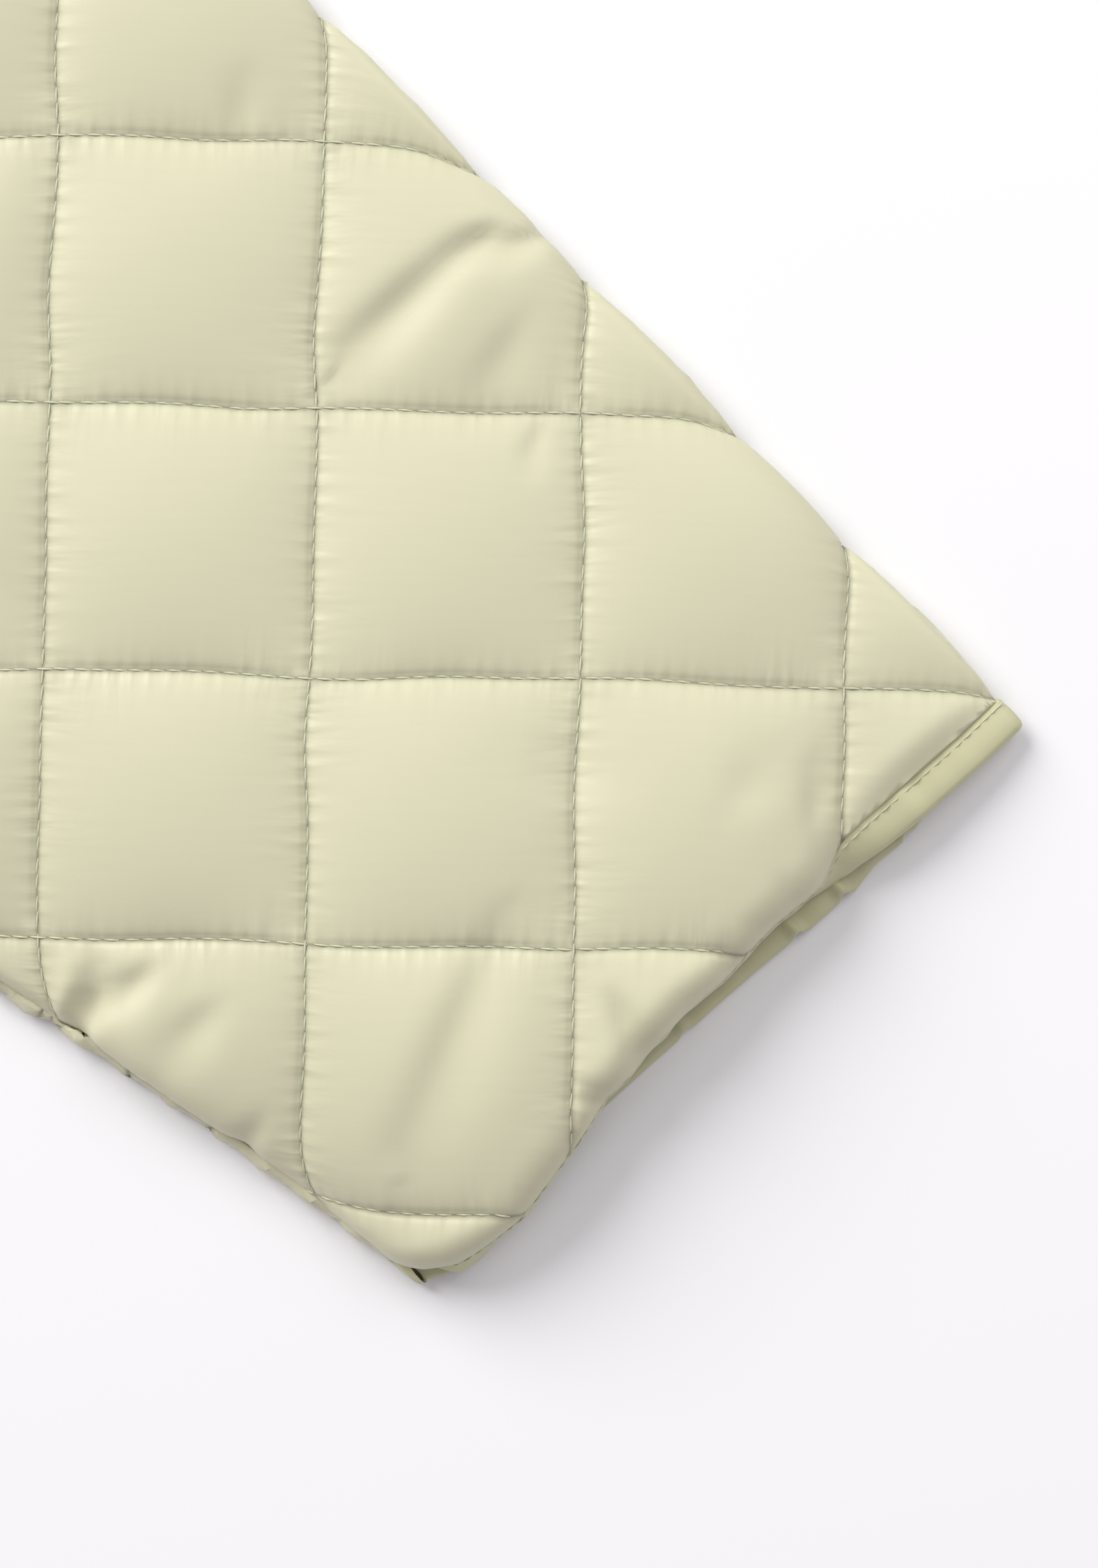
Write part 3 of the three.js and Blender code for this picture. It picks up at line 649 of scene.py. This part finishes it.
def lookUp(tables, along, around):
    i = np.clip((along - stations[0]) / (stations[1] - stations[0]), 0, len(stations) - 1.001)
    j = np.clip((around - clothRange[0]) / (clothRange[1] - clothRange[0]), 0, len(clothRange) - 1.001)
    i0, j0 = i.astype(int), j.astype(int)
    fi, fj = i - i0, j - j0
    found = []
    for table in tables:
        near = table[i0, j0] * (1 - fj) + table[i0, j0 + 1] * fj
        far = table[i0 + 1, j0] * (1 - fj) + table[i0 + 1, j0 + 1] * fj
        found.append(near * (1 - fi) + far * fi)
    return found


def foldAt(along):
    return np.interp(along, stations, edgeFold)


def cuffEnd(across, isTop):
    table = cuffTop if isTop else cuffUnder
    return sleeve["length"] + np.interp(across / mm, table[:, 0], table[:, 1]) * mm


# Soft folds in the cloth, each from its wide end to its sharp end, in mm past the sleeve's length and
# across from the fold, with the widths of the banks towards the shoulder and the cuff, and the height,
# which is below 0 in a trough
creases = [
    ((-133.7, 40), (-133.4, 12), 3.8, 7, -2.3), ((-133, 14), (-131.3, 5), 2.4, 3, -1.5),
    ((-129.6, 9), (-124, 1), 2.6, 4, -1.6),
    ((-112, 27), (-116, 14), 4, 6, -0.9), ((-97, 31), (-101, 24), 2, 3, -0.8),
    ((-84.6, 152.6), (-80.4, 160), 5, 3.4, -3.3), ((-89.5, 153.5), (-85.5, 161), 3.2, 2.8, 1.5),
    ((-79.4, 151.5), (-80, 142.5), 3.4, 3, -2), ((-66.5, 150), (-66.7, 139), 4, 5, -1.3),
    ((-45.4, 155), (-46.6, 147.6), 3, 3, -1.1), ((-24, 132), (-42, 92), 5, 9, -1.7),
    ((-182, 20), (-176, 27), 3, 4, -0.7),
    ((-29, 40), (-27, 50), 5, 6, -0.7), ((-21, 34), (-13, 42), 3, 4, -0.8),
    ((-6, 71.2), (-12, 67), 1.8, 2.4, -0.9),
    ((-5, 92.5), (-18, 88), 3, 3.4, -2.2), ((-5, 101.5), (-11, 104), 2.2, 3, -2),
    ((-7, 53), (-13, 52), 1.6, 2, -0.5),
    ((-6, 61), (-11, 61), 1.5, 2, -0.5), ((-60, 70), (-45, 60), 8, 8, -0.6),
    ((-215, 60), (-190, 90), 5, 8, -1.1),
    ((-260, 110), (-240, 150), 6, 9, -1.2), ((-330, 40), (-310, 80), 6, 9, -1.2),
    ((-400, 120), (-370, 160), 7, 9, -1.2),
    ((-440, 40), (-425, 90), 7, 9, -1.3), ((-150, 120), (-135, 150), 4, 7, -0.9),
]


def creaseAt(along, across):
    total = np.zeros(len(along))
    spot = np.stack([along - sleeve["length"], across], axis=1) / mm
    for start, end, backWidth, cuffWidth, height in creases:
        a, b = np.array(start, float), np.array(end, float)
        run = b - a
        side = xy(run[1], -run[0]) * (-1 if run[1] > 0 else 1)
        share = np.clip((spot - a) @ run / (run @ run), 0, 1)
        away = spot - a - share[:, None] * run
        width = np.where(away @ side > 0, backWidth, cuffWidth) * (1 - 0.45 * share)
        far = np.linalg.norm(away, axis=1)
        strength = 0.6 + 0.4 * np.sin(math.pi * share) - 0.35 * share ** 2
        total += height * mm * np.exp(-((far / width) ** 2)) * strength
    return total


def sleevePoint(along, around, lift):
    # a point of the sleeve's cloth, a height lift above the middle of its wall
    isTop = around > foldAt(along)
    across, = lookUp([acrossTable], along, around)
    twist = np.interp(along / mm, [200, 364, 428, 480, 495], [0, 3, 1.6, 1, 0]) * mm
    along = along + twist * np.exp(-((across / (4.5 * mm)) ** 2))
    reach = np.interp(across / mm, cuffTop[:, 0], cuffTop[:, 1]) * mm + sleeve["length"]
    roll = np.where(isTop, np.interp(across / mm, cuffTop[:, 0], cuffTop[:, 2]), 0)
    start = reach - sleeve["bandDrop"]
    past = np.maximum(along - start, 0)
    curl = np.maximum(roll, 1e-4) / sleeve["bend"]
    arc = sleeve["bend"] * sleeve["bendAngle"]
    angle = curl * np.minimum(past, arc)
    rest = np.maximum(past - arc, 0)
    forward = np.sin(angle) / curl + rest * np.cos(angle)
    drop = (1 - np.cos(angle)) / curl + rest * np.sin(angle)
    base = along - past
    tables = [acrossTable, heightTable, outAcross, outHeight]
    across, height, sideways, upwards = lookUp(tables, base, around)
    size = np.maximum(np.hypot(sideways, upwards), 1e-9)
    sideways, upwards = sideways / size, upwards / size
    crease = np.where(isTop, creaseAt(along, across), 0) * (lift > 0)
    out = lift + crease - drop
    lean = lift * np.sin(angle)
    out += lift * (np.cos(angle) - 1)
    reached = base + forward + lean
    spread = across + out * sideways
    flat = shoulderTip + reached[:, None] * alongWay + spread[:, None] * acrossWay
    lowest = np.where(isTop & (lift > 0), sleeve["topFloor"], 0)
    return np.column_stack([flat, np.maximum(height + out * upwards, lowest)])


def sleeveOutline(bandInset):
    # the flat cut: x along the sleeve, y back round it, so that the upper layer looks up
    def roundAt(along, across, isTop):
        i = int(np.argmin(np.abs(stations - along)))
        fold = int(np.searchsorted(clothRange, edgeFold[i]))
        onSide = slice(fold, None) if isTop else slice(fold, None, -1)
        rising = np.maximum.accumulate(acrossTable[i][onSide])
        return float(np.interp(across, rising, clothRange[onSide]))
    hole = inSleeve(armholeLine(seam["gap"]))
    points = [(along, roundAt(along, across, True)) for along, across in hole]
    corner = sleeve["length"] - sleeve["slant"] - bandInset
    edges = np.append(np.arange(150, 481, 20) * mm, corner)
    points += [(a, float(np.interp(a, stations, edgeTop))) for a in edges]
    at = np.arange(146, 1, -2) * mm
    points += [(cuffEnd(c, True) - bandInset, roundAt(sleeve["length"], c, True)) for c in at]
    points += [(sleeve["length"] - bandInset, float(foldAt(sleeve["length"])))]
    points += [(cuffEnd(c, False) - bandInset, roundAt(sleeve["length"], c, False)) for c in at[::-1]]
    points += [(a, float(np.interp(a, stations, edgeBelow))) for a in edges[::-1]]
    points += [(along, roundAt(along, max(across, 2 * mm), False)) for along, across in hole[::-1][:-1]]
    return np.array(points) * xy(1, -1)


sleeveCut = sleeveOutline(inset)
sleeveCrossing = xy(437.3 * mm, -52.4 * mm)
sleeveTurn = sleeve["slope"] + sleeve["turn"]


def sleeveFace(points, rise):
    # the quilted side: padding is drawn tighter round the fold, pressed at the seams and flat on the floor
    along, around = points[:, 0], -points[:, 1]
    far, _ = edgeDistance(points, closed(sleeveCut))
    pressed = 0.04 + 0.96 * smooth(far, -1.5 * mm, 5.5 * mm)
    across, facing = lookUp([acrossTable, outHeight], along, around)
    onEdge = 1 - np.abs(facing)
    byFold = smooth(across, 30 * mm, 10 * mm)
    tight = 0.3 + 0.7 * facing ** 2 + 0.25 * byFold * onEdge
    lift = half + rise * pressed * tight - 0.8 * mm * np.clip(-facing, 0, 1) - 1.2 * mm * byFold * onEdge
    return sleevePoint(along, around, lift)


def clothLift(quiltSpots):
    return quilt["rise"] * puffAt(quiltSpots) + puckersAt(quiltSpots)


def cutsBeside(edge, low, high, step=0.8 * mm):
    # planes that cut the pattern in lines beside one of the sleeve's turned edges
    ends = [Vector((a, -float(np.interp(a, stations, edge)), 0)) for a in (250 * mm, 490 * mm)]
    run = (ends[1] - ends[0]).normalized()
    normal = Vector((run.y, -run.x, 0))
    return [(ends[0] + normal * at, normal) for at in np.arange(low, high, step)]


def makeSleeve(name, steps):
    cutAlong = np.arange(0, 500, 14) * mm
    cutRound = np.concatenate([np.arange(-240, 0, 12), np.arange(0, 16, 2), np.arange(20, 240, 12)]) * mm
    faceCuts = cutsBeside(edgeFold, -3 * mm, 4 * mm) + cutsBeside(edgeBelow, 0.6 * mm, 5 * mm)
    mesh = clothPattern(name, sleeveCut, sleeveTurn, sleeveCrossing, steps, (cutAlong, cutRound), faceCuts)
    flat = readPoints(mesh)
    spots = quiltPlaces(mesh)
    isFace = flat[:, 2] > -0.5
    world = sleevePoint(flat[:, 0], -flat[:, 1], np.full(len(flat), -half))
    world[isFace] = sleeveFace(flat[isFace, :2], clothLift(spots[isFace]))
    return addPiece(name, mesh, world, shellCloth)


def sleeveStitches(name, form):
    found = quiltStitches(sleeveCut, sleeveTurn, sleeveCrossing)
    rise = 0.2 * mm
    middle, before, after = [sleeveFace(found[:, i], rise) for i in range(3)]
    above = sleeveFace(found[:, 0], rise + 1.5 * mm)
    return stitchRows(name, middle, after - before, above - middle, form, thread)


# along from the mouth and out from the wall's middle, in mm, round the folded band
cuffProfile = np.array([
    (-7.1, 0.6), (-6.9, 0.95), (-6.3, 1.12), (-5.4, 1.12),
    (-4.2, 1.24), (-2.6, 1.2), (-1.1, 1.05), (-0.3, 0.7), (0, 0),
    (-0.3, -0.7), (-1.1, -1.0), (-2.6, -1.15), (-4.6, -1.2), (-6.2, -1.15), (-6.8, -1.0),
])


def cuffPlaces():
    # places round the mouth, from the underarm below to above, and how far down the cloth reaches there
    low = np.interp(sleeve["mouth"], stations, edgeBelow)
    high = np.interp(sleeve["mouth"], stations, edgeTop)
    around = np.arange(low, high - 7 * mm, 0.8 * mm)
    inMouth = np.full(len(around), sleeve["inMouth"])
    across, = lookUp([acrossTable], inMouth, around)
    isTop = around > foldAt(inMouth)
    reach = np.where(isTop, cuffEnd(across, True), cuffEnd(across, False))
    return around, across, isTop, reach


def lipFoldAt(across, back):
    # the under side's edge is nipped up into small folds that fade into the cuff
    total = np.zeros(len(across))
    for place, height in ((29.5, 2.2), (45, 2), (56, 2.2), (83, 1.4)):
        total += height * np.exp(-(((across / mm - place) / 1.1) ** 2))
    return total * mm * np.exp(-back / (6 * mm))


def makeCuffBand(name):
    around, across, isTop, reach = cuffPlaces()
    rows = len(cuffProfile)
    bm = bmesh.new()
    bmesh.ops.create_grid(bm, x_segments=len(around) - 1, y_segments=rows - 1, size=0.5)
    mesh = bpy.data.meshes.new(name)
    bm.to_mesh(mesh)
    bm.free()
    flat = readPoints(mesh)[:, :2] + 0.5
    i = np.rint(flat[:, 0] * (len(around) - 1)).astype(int)
    j = np.rint(flat[:, 1] * (rows - 1)).astype(int)
    along = reach[i] + cuffProfile[j, 0] * mm
    lift = cuffProfile[j, 1] * mm
    soft = 0.12 * mm * ripple(around[i], 0, 3.0) * (cuffProfile[j, 1] != 0)
    spread = around[i].copy()
    for edge, end in ((edgeBelow, around[0]), (edgeTop, around[-1])):
        shift = np.interp(along, stations, edge) - np.interp(sleeve["mouth"], stations, edge)
        spread += shift * np.exp(-np.abs(around[i] - end) / (12 * mm))
    world = sleevePoint(along, spread, lift + soft)
    world[:, 2] += lipFoldAt(across[i], -cuffProfile[j, 0] * mm) * ~isTop[i]
    return addPiece(name, mesh, world, bandCloth)


def cuffStitches(name):
    around, _, _, reach = cuffPlaces()
    at = np.arange(foldAt(sleeve["length"]) + 1 * mm, around[-1] - 2 * mm, sleeve["bandStitchPitch"])
    edge = np.interp(at, around, reach) - sleeve["bandStitchBack"]
    lift = np.full(len(at), 1.25 * mm)
    middle = sleevePoint(edge, at, lift)
    before = sleevePoint(edge, at - 0.5 * mm, lift)
    after = sleevePoint(edge, at + 0.5 * mm, lift)
    above = sleevePoint(edge, at, lift + 1.5 * mm)
    return stitchRows(name, middle, after - before, above - middle, "small", thread)


leftSleeve = makeSleeve("sleeveLeftCloth", 34)
print("left sleeve made", len(leftSleeve.data.polygons))
leftStitching = sleeveStitches("sleeveLeftStitching", "plain")
leftBand = makeCuffBand("cuffLeftBand")
leftBandStitching = cuffStitches("cuffLeftStitching")
rightSleeve = makeSleeve("sleeveRightSource", 22)
sleeveSides = {
    "left": (leftSleeve, leftStitching, leftBand, leftBandStitching),
    "right": (
        mirrorPiece("sleeveRightCloth", rightSleeve), mirrorPiece("sleeveRightStitching", leftStitching),
        mirrorPiece("cuffRightBand", leftBand), mirrorPiece("cuffRightStitching", leftBandStitching),
    ),
}
bpy.data.objects.remove(rightSleeve)
for side, (cloth, stitching, band, bandStitching) in sleeveSides.items():
    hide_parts(f"sleeve_{side}")
    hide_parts(f"cuff_binding_{side}")
print("sleeves made")


# The body's panels

def liftOverLap(x):
    # how far the upper front is raised over the lower one; it lies towards +X here, before it is mirrored
    return overlapLift * smooth(-x, -body["overlap"] - 24 * mm, -body["overlap"] - 10 * mm)


def centreNeck(x):
    share = x / (body["neckHalf"] + inset)
    return xy(x, body["length"] - (body["frontNeck"] + inset) * math.sqrt(1 - share * share))


def frontOutline():
    centre = inset - body["overlap"]
    neck = behindBand(frontNeckEdge)
    neck = neck[neck[:, 0] > centre + 1 * mm]
    side = np.vstack([xy(body["hemHalf"], inset), armholeLine(0)[::-1]])
    return np.vstack([xy(centre, inset), side, neck, centreNeck(centre)])


def backOutline():
    side = np.vstack([xy(body["hemHalf"], inset), armholeLine(0)[::-1]])
    return np.vstack([side, behindBand(backNeckEdge), mirroredPath(side)])


studYs = np.linspace(body["length"] - body["frontNeck"] - 20 * mm, 62 * mm, 5)
frontCut = frontOutline()
backCut = backOutline()


def frontFace(points, rise, isUpper):
    far, _ = edgeDistance(points, closed(frontCut))
    swell = rise * smooth(far, 0, seam["pressed"])
    if isUpper:
        studs = np.abs(points[:, 1:2] - studYs[None]).min(axis=1)
        swell = swell * smooth(np.hypot(points[:, 0], studs), 7 * mm, 13 * mm)
        level = liftOverLap(points[:, 0])
    else:
        swell = swell * smooth(points[:, 0], 16 * mm, 25 * mm)
        level = 0
    return np.column_stack([points, frontLow + wall["front"] - 0.1 * mm + level + swell])


def makeFront(name, isUpper, steps=24):
    cuts = (np.array([25, 32, 39, 100, 160, 220]) * mm, np.arange(60, 600, 60) * mm)
    mesh = clothPattern(name, frontCut, quilt["bodyTurn"], xy(0, 0), steps, cuts)
    flat = readPoints(mesh)
    isFace = flat[:, 2] > -0.5
    lift = liftOverLap(flat[:, 0]) if isUpper else np.zeros(len(flat))
    world = np.column_stack([flat[:, :2], frontLow + lift])
    world[isFace] = frontFace(flat[isFace, :2], clothLift(quiltPlaces(mesh)[isFace]), isUpper)
    return addPiece(name, mesh, world, shellCloth)


def frontStitches(name, isUpper):
    found = quiltStitches(frontCut, quilt["bodyTurn"], xy(0, 0))
    if isUpper:
        nearStud = np.abs(found[:, 0, 1:2] - studYs[None]).min(axis=1)
        found = found[np.hypot(found[:, 0, 0], nearStud) > 8 * mm]
    else:
        found = found[found[:, 0, 0] > 17 * mm]
    middle, before, after = [frontFace(found[:, i], 0.1 * mm, isUpper) for i in range(3)]
    ups = np.tile([0.0, 0.0, 1.0], (len(middle), 1))
    return stitchRows(name, middle, after - before, ups, "plain", thread)


def backFace(points, rise):
    # the back's quilted side lies on the floor, its padding pressed flat; the pattern is turned over
    height = np.maximum(0.8 * mm - rise, 0) * np.ones(len(points))
    return np.column_stack([-points[:, 0], points[:, 1], height])


def makeBack(name):
    cuts = (np.arange(-240, 260, 60) * mm, np.arange(60, 640, 60) * mm)
    mesh = clothPattern(name, backCut, quilt["bodyTurn"], xy(0, 0), 12, cuts)
    flat = readPoints(mesh)
    isFace = flat[:, 2] > -0.5
    world = np.column_stack([-flat[:, 0], flat[:, 1], np.full(len(flat), wall["back"])])
    world[isFace] = backFace(flat[isFace, :2], clothLift(quiltPlaces(mesh)[isFace]))
    return addPiece(name, mesh, world, shellCloth)


def backStitches(name):
    found = quiltStitches(backCut, quilt["bodyTurn"], xy(0, 0))
    middle, before, after = [backFace(found[:, i], 0.1 * mm) for i in range(3)]
    downs = np.tile([0.0, 0.0, -1.0], (len(middle), 1))
    return stitchRows(name, middle, after - before, downs, "plain", thread)


bandProfile = np.array([  # in from the finished edge in mm, and height as a share of the band's thickness
    (6.6, 0.1), (6, 0), (3.3, 0), (0.7, 0), (0.15, 0.16), (0, 0.5), (0.35, 0.8), (1.3, 0.95), (2.8, 1),
    (4.4, 0.97), (5.4, 0.88), (6.3, 0.9), (6.6, 0.7),
])


def spacedPath(path, step):
    run = np.concatenate([[0], np.cumsum(np.linalg.norm(np.diff(path, axis=0), axis=1))])
    at = np.linspace(0, run[-1], max(2, int(math.ceil(run[-1] / step)) + 1))
    return np.stack([np.interp(at, run, path[:, k]) for k in (0, 1)], axis=1)


def makeBand(name, path, low, thickness, liftAt=None):
    edge = spacedPath(path, 3 * mm)
    inward = inwardAlong(edge)
    rows = len(bandProfile)
    bm = bmesh.new()
    bmesh.ops.create_grid(bm, x_segments=len(edge) - 1, y_segments=rows - 1, size=0.5)
    ends = [[v for v in bm.verts if side * v.co.x > 0.4999] for side in (-1, 1)]
    for v in bm.verts:
        i = round((v.co.x + 0.5) * (len(edge) - 1))
        into, share = bandProfile[round((v.co.y + 0.5) * (rows - 1))]
        spot = edge[i] + inward[i] * into * mm
        lift = liftAt(edge[i][0]) if liftAt else 0
        soft = 0.1 * mm * math.sin(i * 1.9 + math.sin(i * 0.7)) * (share > 0.85)
        v.co = (spot[0], spot[1], low + lift + share * thickness + soft)
    for end in ends:
        bmesh.ops.contextual_create(bm, geom=end)
    bmesh.ops.recalc_face_normals(bm, faces=bm.faces)
    mesh = bpy.data.meshes.new(name)
    bm.to_mesh(mesh)
    bm.free()
    return addPiece(name, mesh, readPoints(mesh), bandCloth)


def bandStitches(name, path, low, thickness, liftAt=None):
    edge = spacedPath(path, 2.5 * mm)[1:-1]
    inward = inwardAlong(edge)
    flat = edge + inward * 5.4 * mm
    lift = np.array([liftAt(x) for x in edge[:, 0]]) if liftAt else np.zeros(len(edge))
    middle = np.column_stack([flat, low + lift + 0.92 * thickness])
    runs = np.column_stack([inward[:, 1], -inward[:, 0], np.zeros(len(edge))])
    ups = np.tile([0.0, 0.0, 1.0], (len(edge), 1))
    return stitchRows(name, middle, runs, ups, "small", thread)


def mirroredLift(x):
    return liftOverLap(-x)


def hemPath(fromX, toX):
    lifts = [x * mm for x in (-39, -36, -32, -28, -25) if fromX < x * mm < toX]
    return np.array([(x, 0) for x in (fromX, *lifts, toX)])


def centrePath(x):
    ends = [inset, centreNeck(0)[1] - seam["gap"]]
    return np.array([(x, y) for y in (ends if x > 0 else ends[::-1])])


upperLow = frontLow + overlapLift
bands = {  # CAD node: finished edge with the cloth on its left, low level, thickness and rise over the lap
    "hem_binding_back": (hemPath(-body["hemHalf"], body["hemHalf"]), 0, wall["back"], None),
    "hem_binding_front_left": (hemPath(-body["overlap"], body["hemHalf"]), frontLow, wall["front"], None),
    "hem_binding_front_right": (
        hemPath(-body["hemHalf"], body["overlap"]), frontLow, wall["front"], mirroredLift,
    ),
    "front_binding_left": (centrePath(-body["overlap"]), frontLow, wall["front"], None),
    "front_binding_right": (centrePath(body["overlap"]), upperLow, wall["front"], None),
    "neck_binding_back": (backNeckEdge, 0, wall["back"], None),
    "neck_binding_front_left": (frontNeckEdge, frontLow, wall["front"], None),
    "neck_binding_front_right": (mirroredPath(frontNeckEdge), frontLow, wall["front"], mirroredLift),
}


def pieceName(node, ending):
    words = node.split("_")
    return words[0] + "".join(word.capitalize() for word in words[1:]) + ending


def makeStud(name, y):
    # a press stud's cap with a soft dome and a fine rim
    profile = [(0, 2.4), (2, 2.37), (4, 2.18), (5.1, 1.86), (5.6, 1.5), (5.8, 1.36), (6.1, 1.4), (6.4, 1.2),
               (6.5, 0.85), (6.45, 0.3), (6.2, 0), (0, 0)]
    bm = bmesh.new()
    ring = [bm.verts.new((r * mm, 0, z * mm)) for r, z in profile]
    line = [bm.edges.new(pair) for pair in zip(ring[:-1], ring[1:])]
    bmesh.ops.spin(bm, geom=ring + line, axis=(0, 0, 1), cent=(0, 0, 0), angle=2 * math.pi, steps=32)
    bmesh.ops.remove_doubles(bm, verts=bm.verts, dist=0.01 * mm)
    bmesh.ops.translate(bm, verts=bm.verts, vec=(0, y, upperLow + wall["front"] + 0.2 * mm))
    bmesh.ops.recalc_face_normals(bm, faces=bm.faces)
    mesh = bpy.data.meshes.new(name)
    bm.to_mesh(mesh)
    bm.free()
    return addPiece(name, mesh, readPoints(mesh), studLacquer)


def declarePanel(stitching, node):
    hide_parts(node)


back = makeBack("backCloth")
declarePanel(backStitches("backStitching"), "back")
frontLower = makeFront("frontLeftCloth", False)
declarePanel(frontStitches("frontLeftStitching", False), "front_left")
upperSource = makeFront("upperSource", True)
upperStitchSource = frontStitches("upperStitchSource", True)
frontUpper = mirrorPiece("frontRightCloth", upperSource)
upperStitching = mirrorPiece("frontRightStitching", upperStitchSource)
declarePanel(upperStitching, "front_right")
bpy.data.objects.remove(upperSource)
bpy.data.objects.remove(upperStitchSource)
print("body panels made")

for node, (path, low, thickness, liftAt) in bands.items():
    band = makeBand(pieceName(node, "Band"), path, low, thickness, liftAt)
    stitching = bandStitches(pieceName(node, "Stitching"), path, low, thickness, liftAt)
    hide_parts(node)
for i, y in enumerate(studYs):
    stud = makeStud(f"studCap{i + 1}", float(y))
    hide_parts(f"stud_cap_{i + 1}")
print("bands and studs made")


# Floor, light and camera

def makeFloor():
    bm = bmesh.new()
    bmesh.ops.create_grid(bm, x_segments=1, y_segments=1, size=4)
    mesh = bpy.data.meshes.new("floor")
    bm.to_mesh(mesh)
    bm.free()
    floor = bpy.data.objects.new("floor", mesh)
    floor.location.z = -0.2 * mm
    scene.collection.objects.link(floor)
    material, nodes, _ = newMaterial("paleFloor")
    nodes["Principled BSDF"].inputs["Base Color"].default_value = (*finish["floor"], 1)
    nodes["Principled BSDF"].inputs["Roughness"].default_value = 0.8
    nodes["Principled BSDF"].inputs["Specular IOR Level"].default_value = 0.1
    mesh.materials.append(material)


view = {
    "x": 630.7 * mm, "y": 23.5 * mm, "height": 282.1 * mm, "above": 12 * mm,
    "lens": 115.0, "roll": math.radians(20.3), "daylight": (0.99, 1.0, 0.96),
}


def addLight(name, azimuth, elevation, distance, size, power):
    # azimuth as the picture shows it: 0 is to the right and 90 is up
    data = bpy.data.lights.new(name, "AREA")
    data.shape = "DISK"
    data.size = size
    data.energy = power
    data.color = view["daylight"]
    light = bpy.data.objects.new(name, data)
    turn = math.radians(azimuth) + view["roll"]
    rise = math.radians(elevation)
    way = Vector((math.cos(turn) * math.cos(rise), math.sin(turn) * math.cos(rise), math.sin(rise)))
    light.location = Vector((view["x"], view["y"], 0)) + way * distance
    light.rotation_euler = way.to_track_quat("Z", "Y").to_euler()
    scene.collection.objects.link(light)


def makeCamera():
    data = bpy.data.cameras.new("camera")
    data.lens = view["lens"]
    data.sensor_fit = "VERTICAL"
    data.sensor_height = 36.0
    data.sensor_width = 36.0
    camera = bpy.data.objects.new("camera", data)
    distance = view["height"] * view["lens"] / data.sensor_height
    camera.location = (view["x"], view["y"], view["above"] + distance)
    camera.rotation_euler = (0, 0, view["roll"])
    scene.collection.objects.link(camera)
    scene.camera = camera


def makeWorld():
    world = bpy.data.worlds.new("studio")
    world.use_nodes = True
    world.node_tree.nodes["Background"].inputs["Color"].default_value = (1.0, 0.955, 1.0, 1)
    world.node_tree.nodes["Background"].inputs["Strength"].default_value = 0.435
    scene.world = world


makeFloor()
addLight("key", azimuth=134, elevation=32, distance=3.2, size=2.3, power=105)
addLight("top", azimuth=50, elevation=44, distance=1.5, size=1.1, power=6.4)
makeWorld()
makeCamera()
scene.view_settings.view_transform = "Standard"
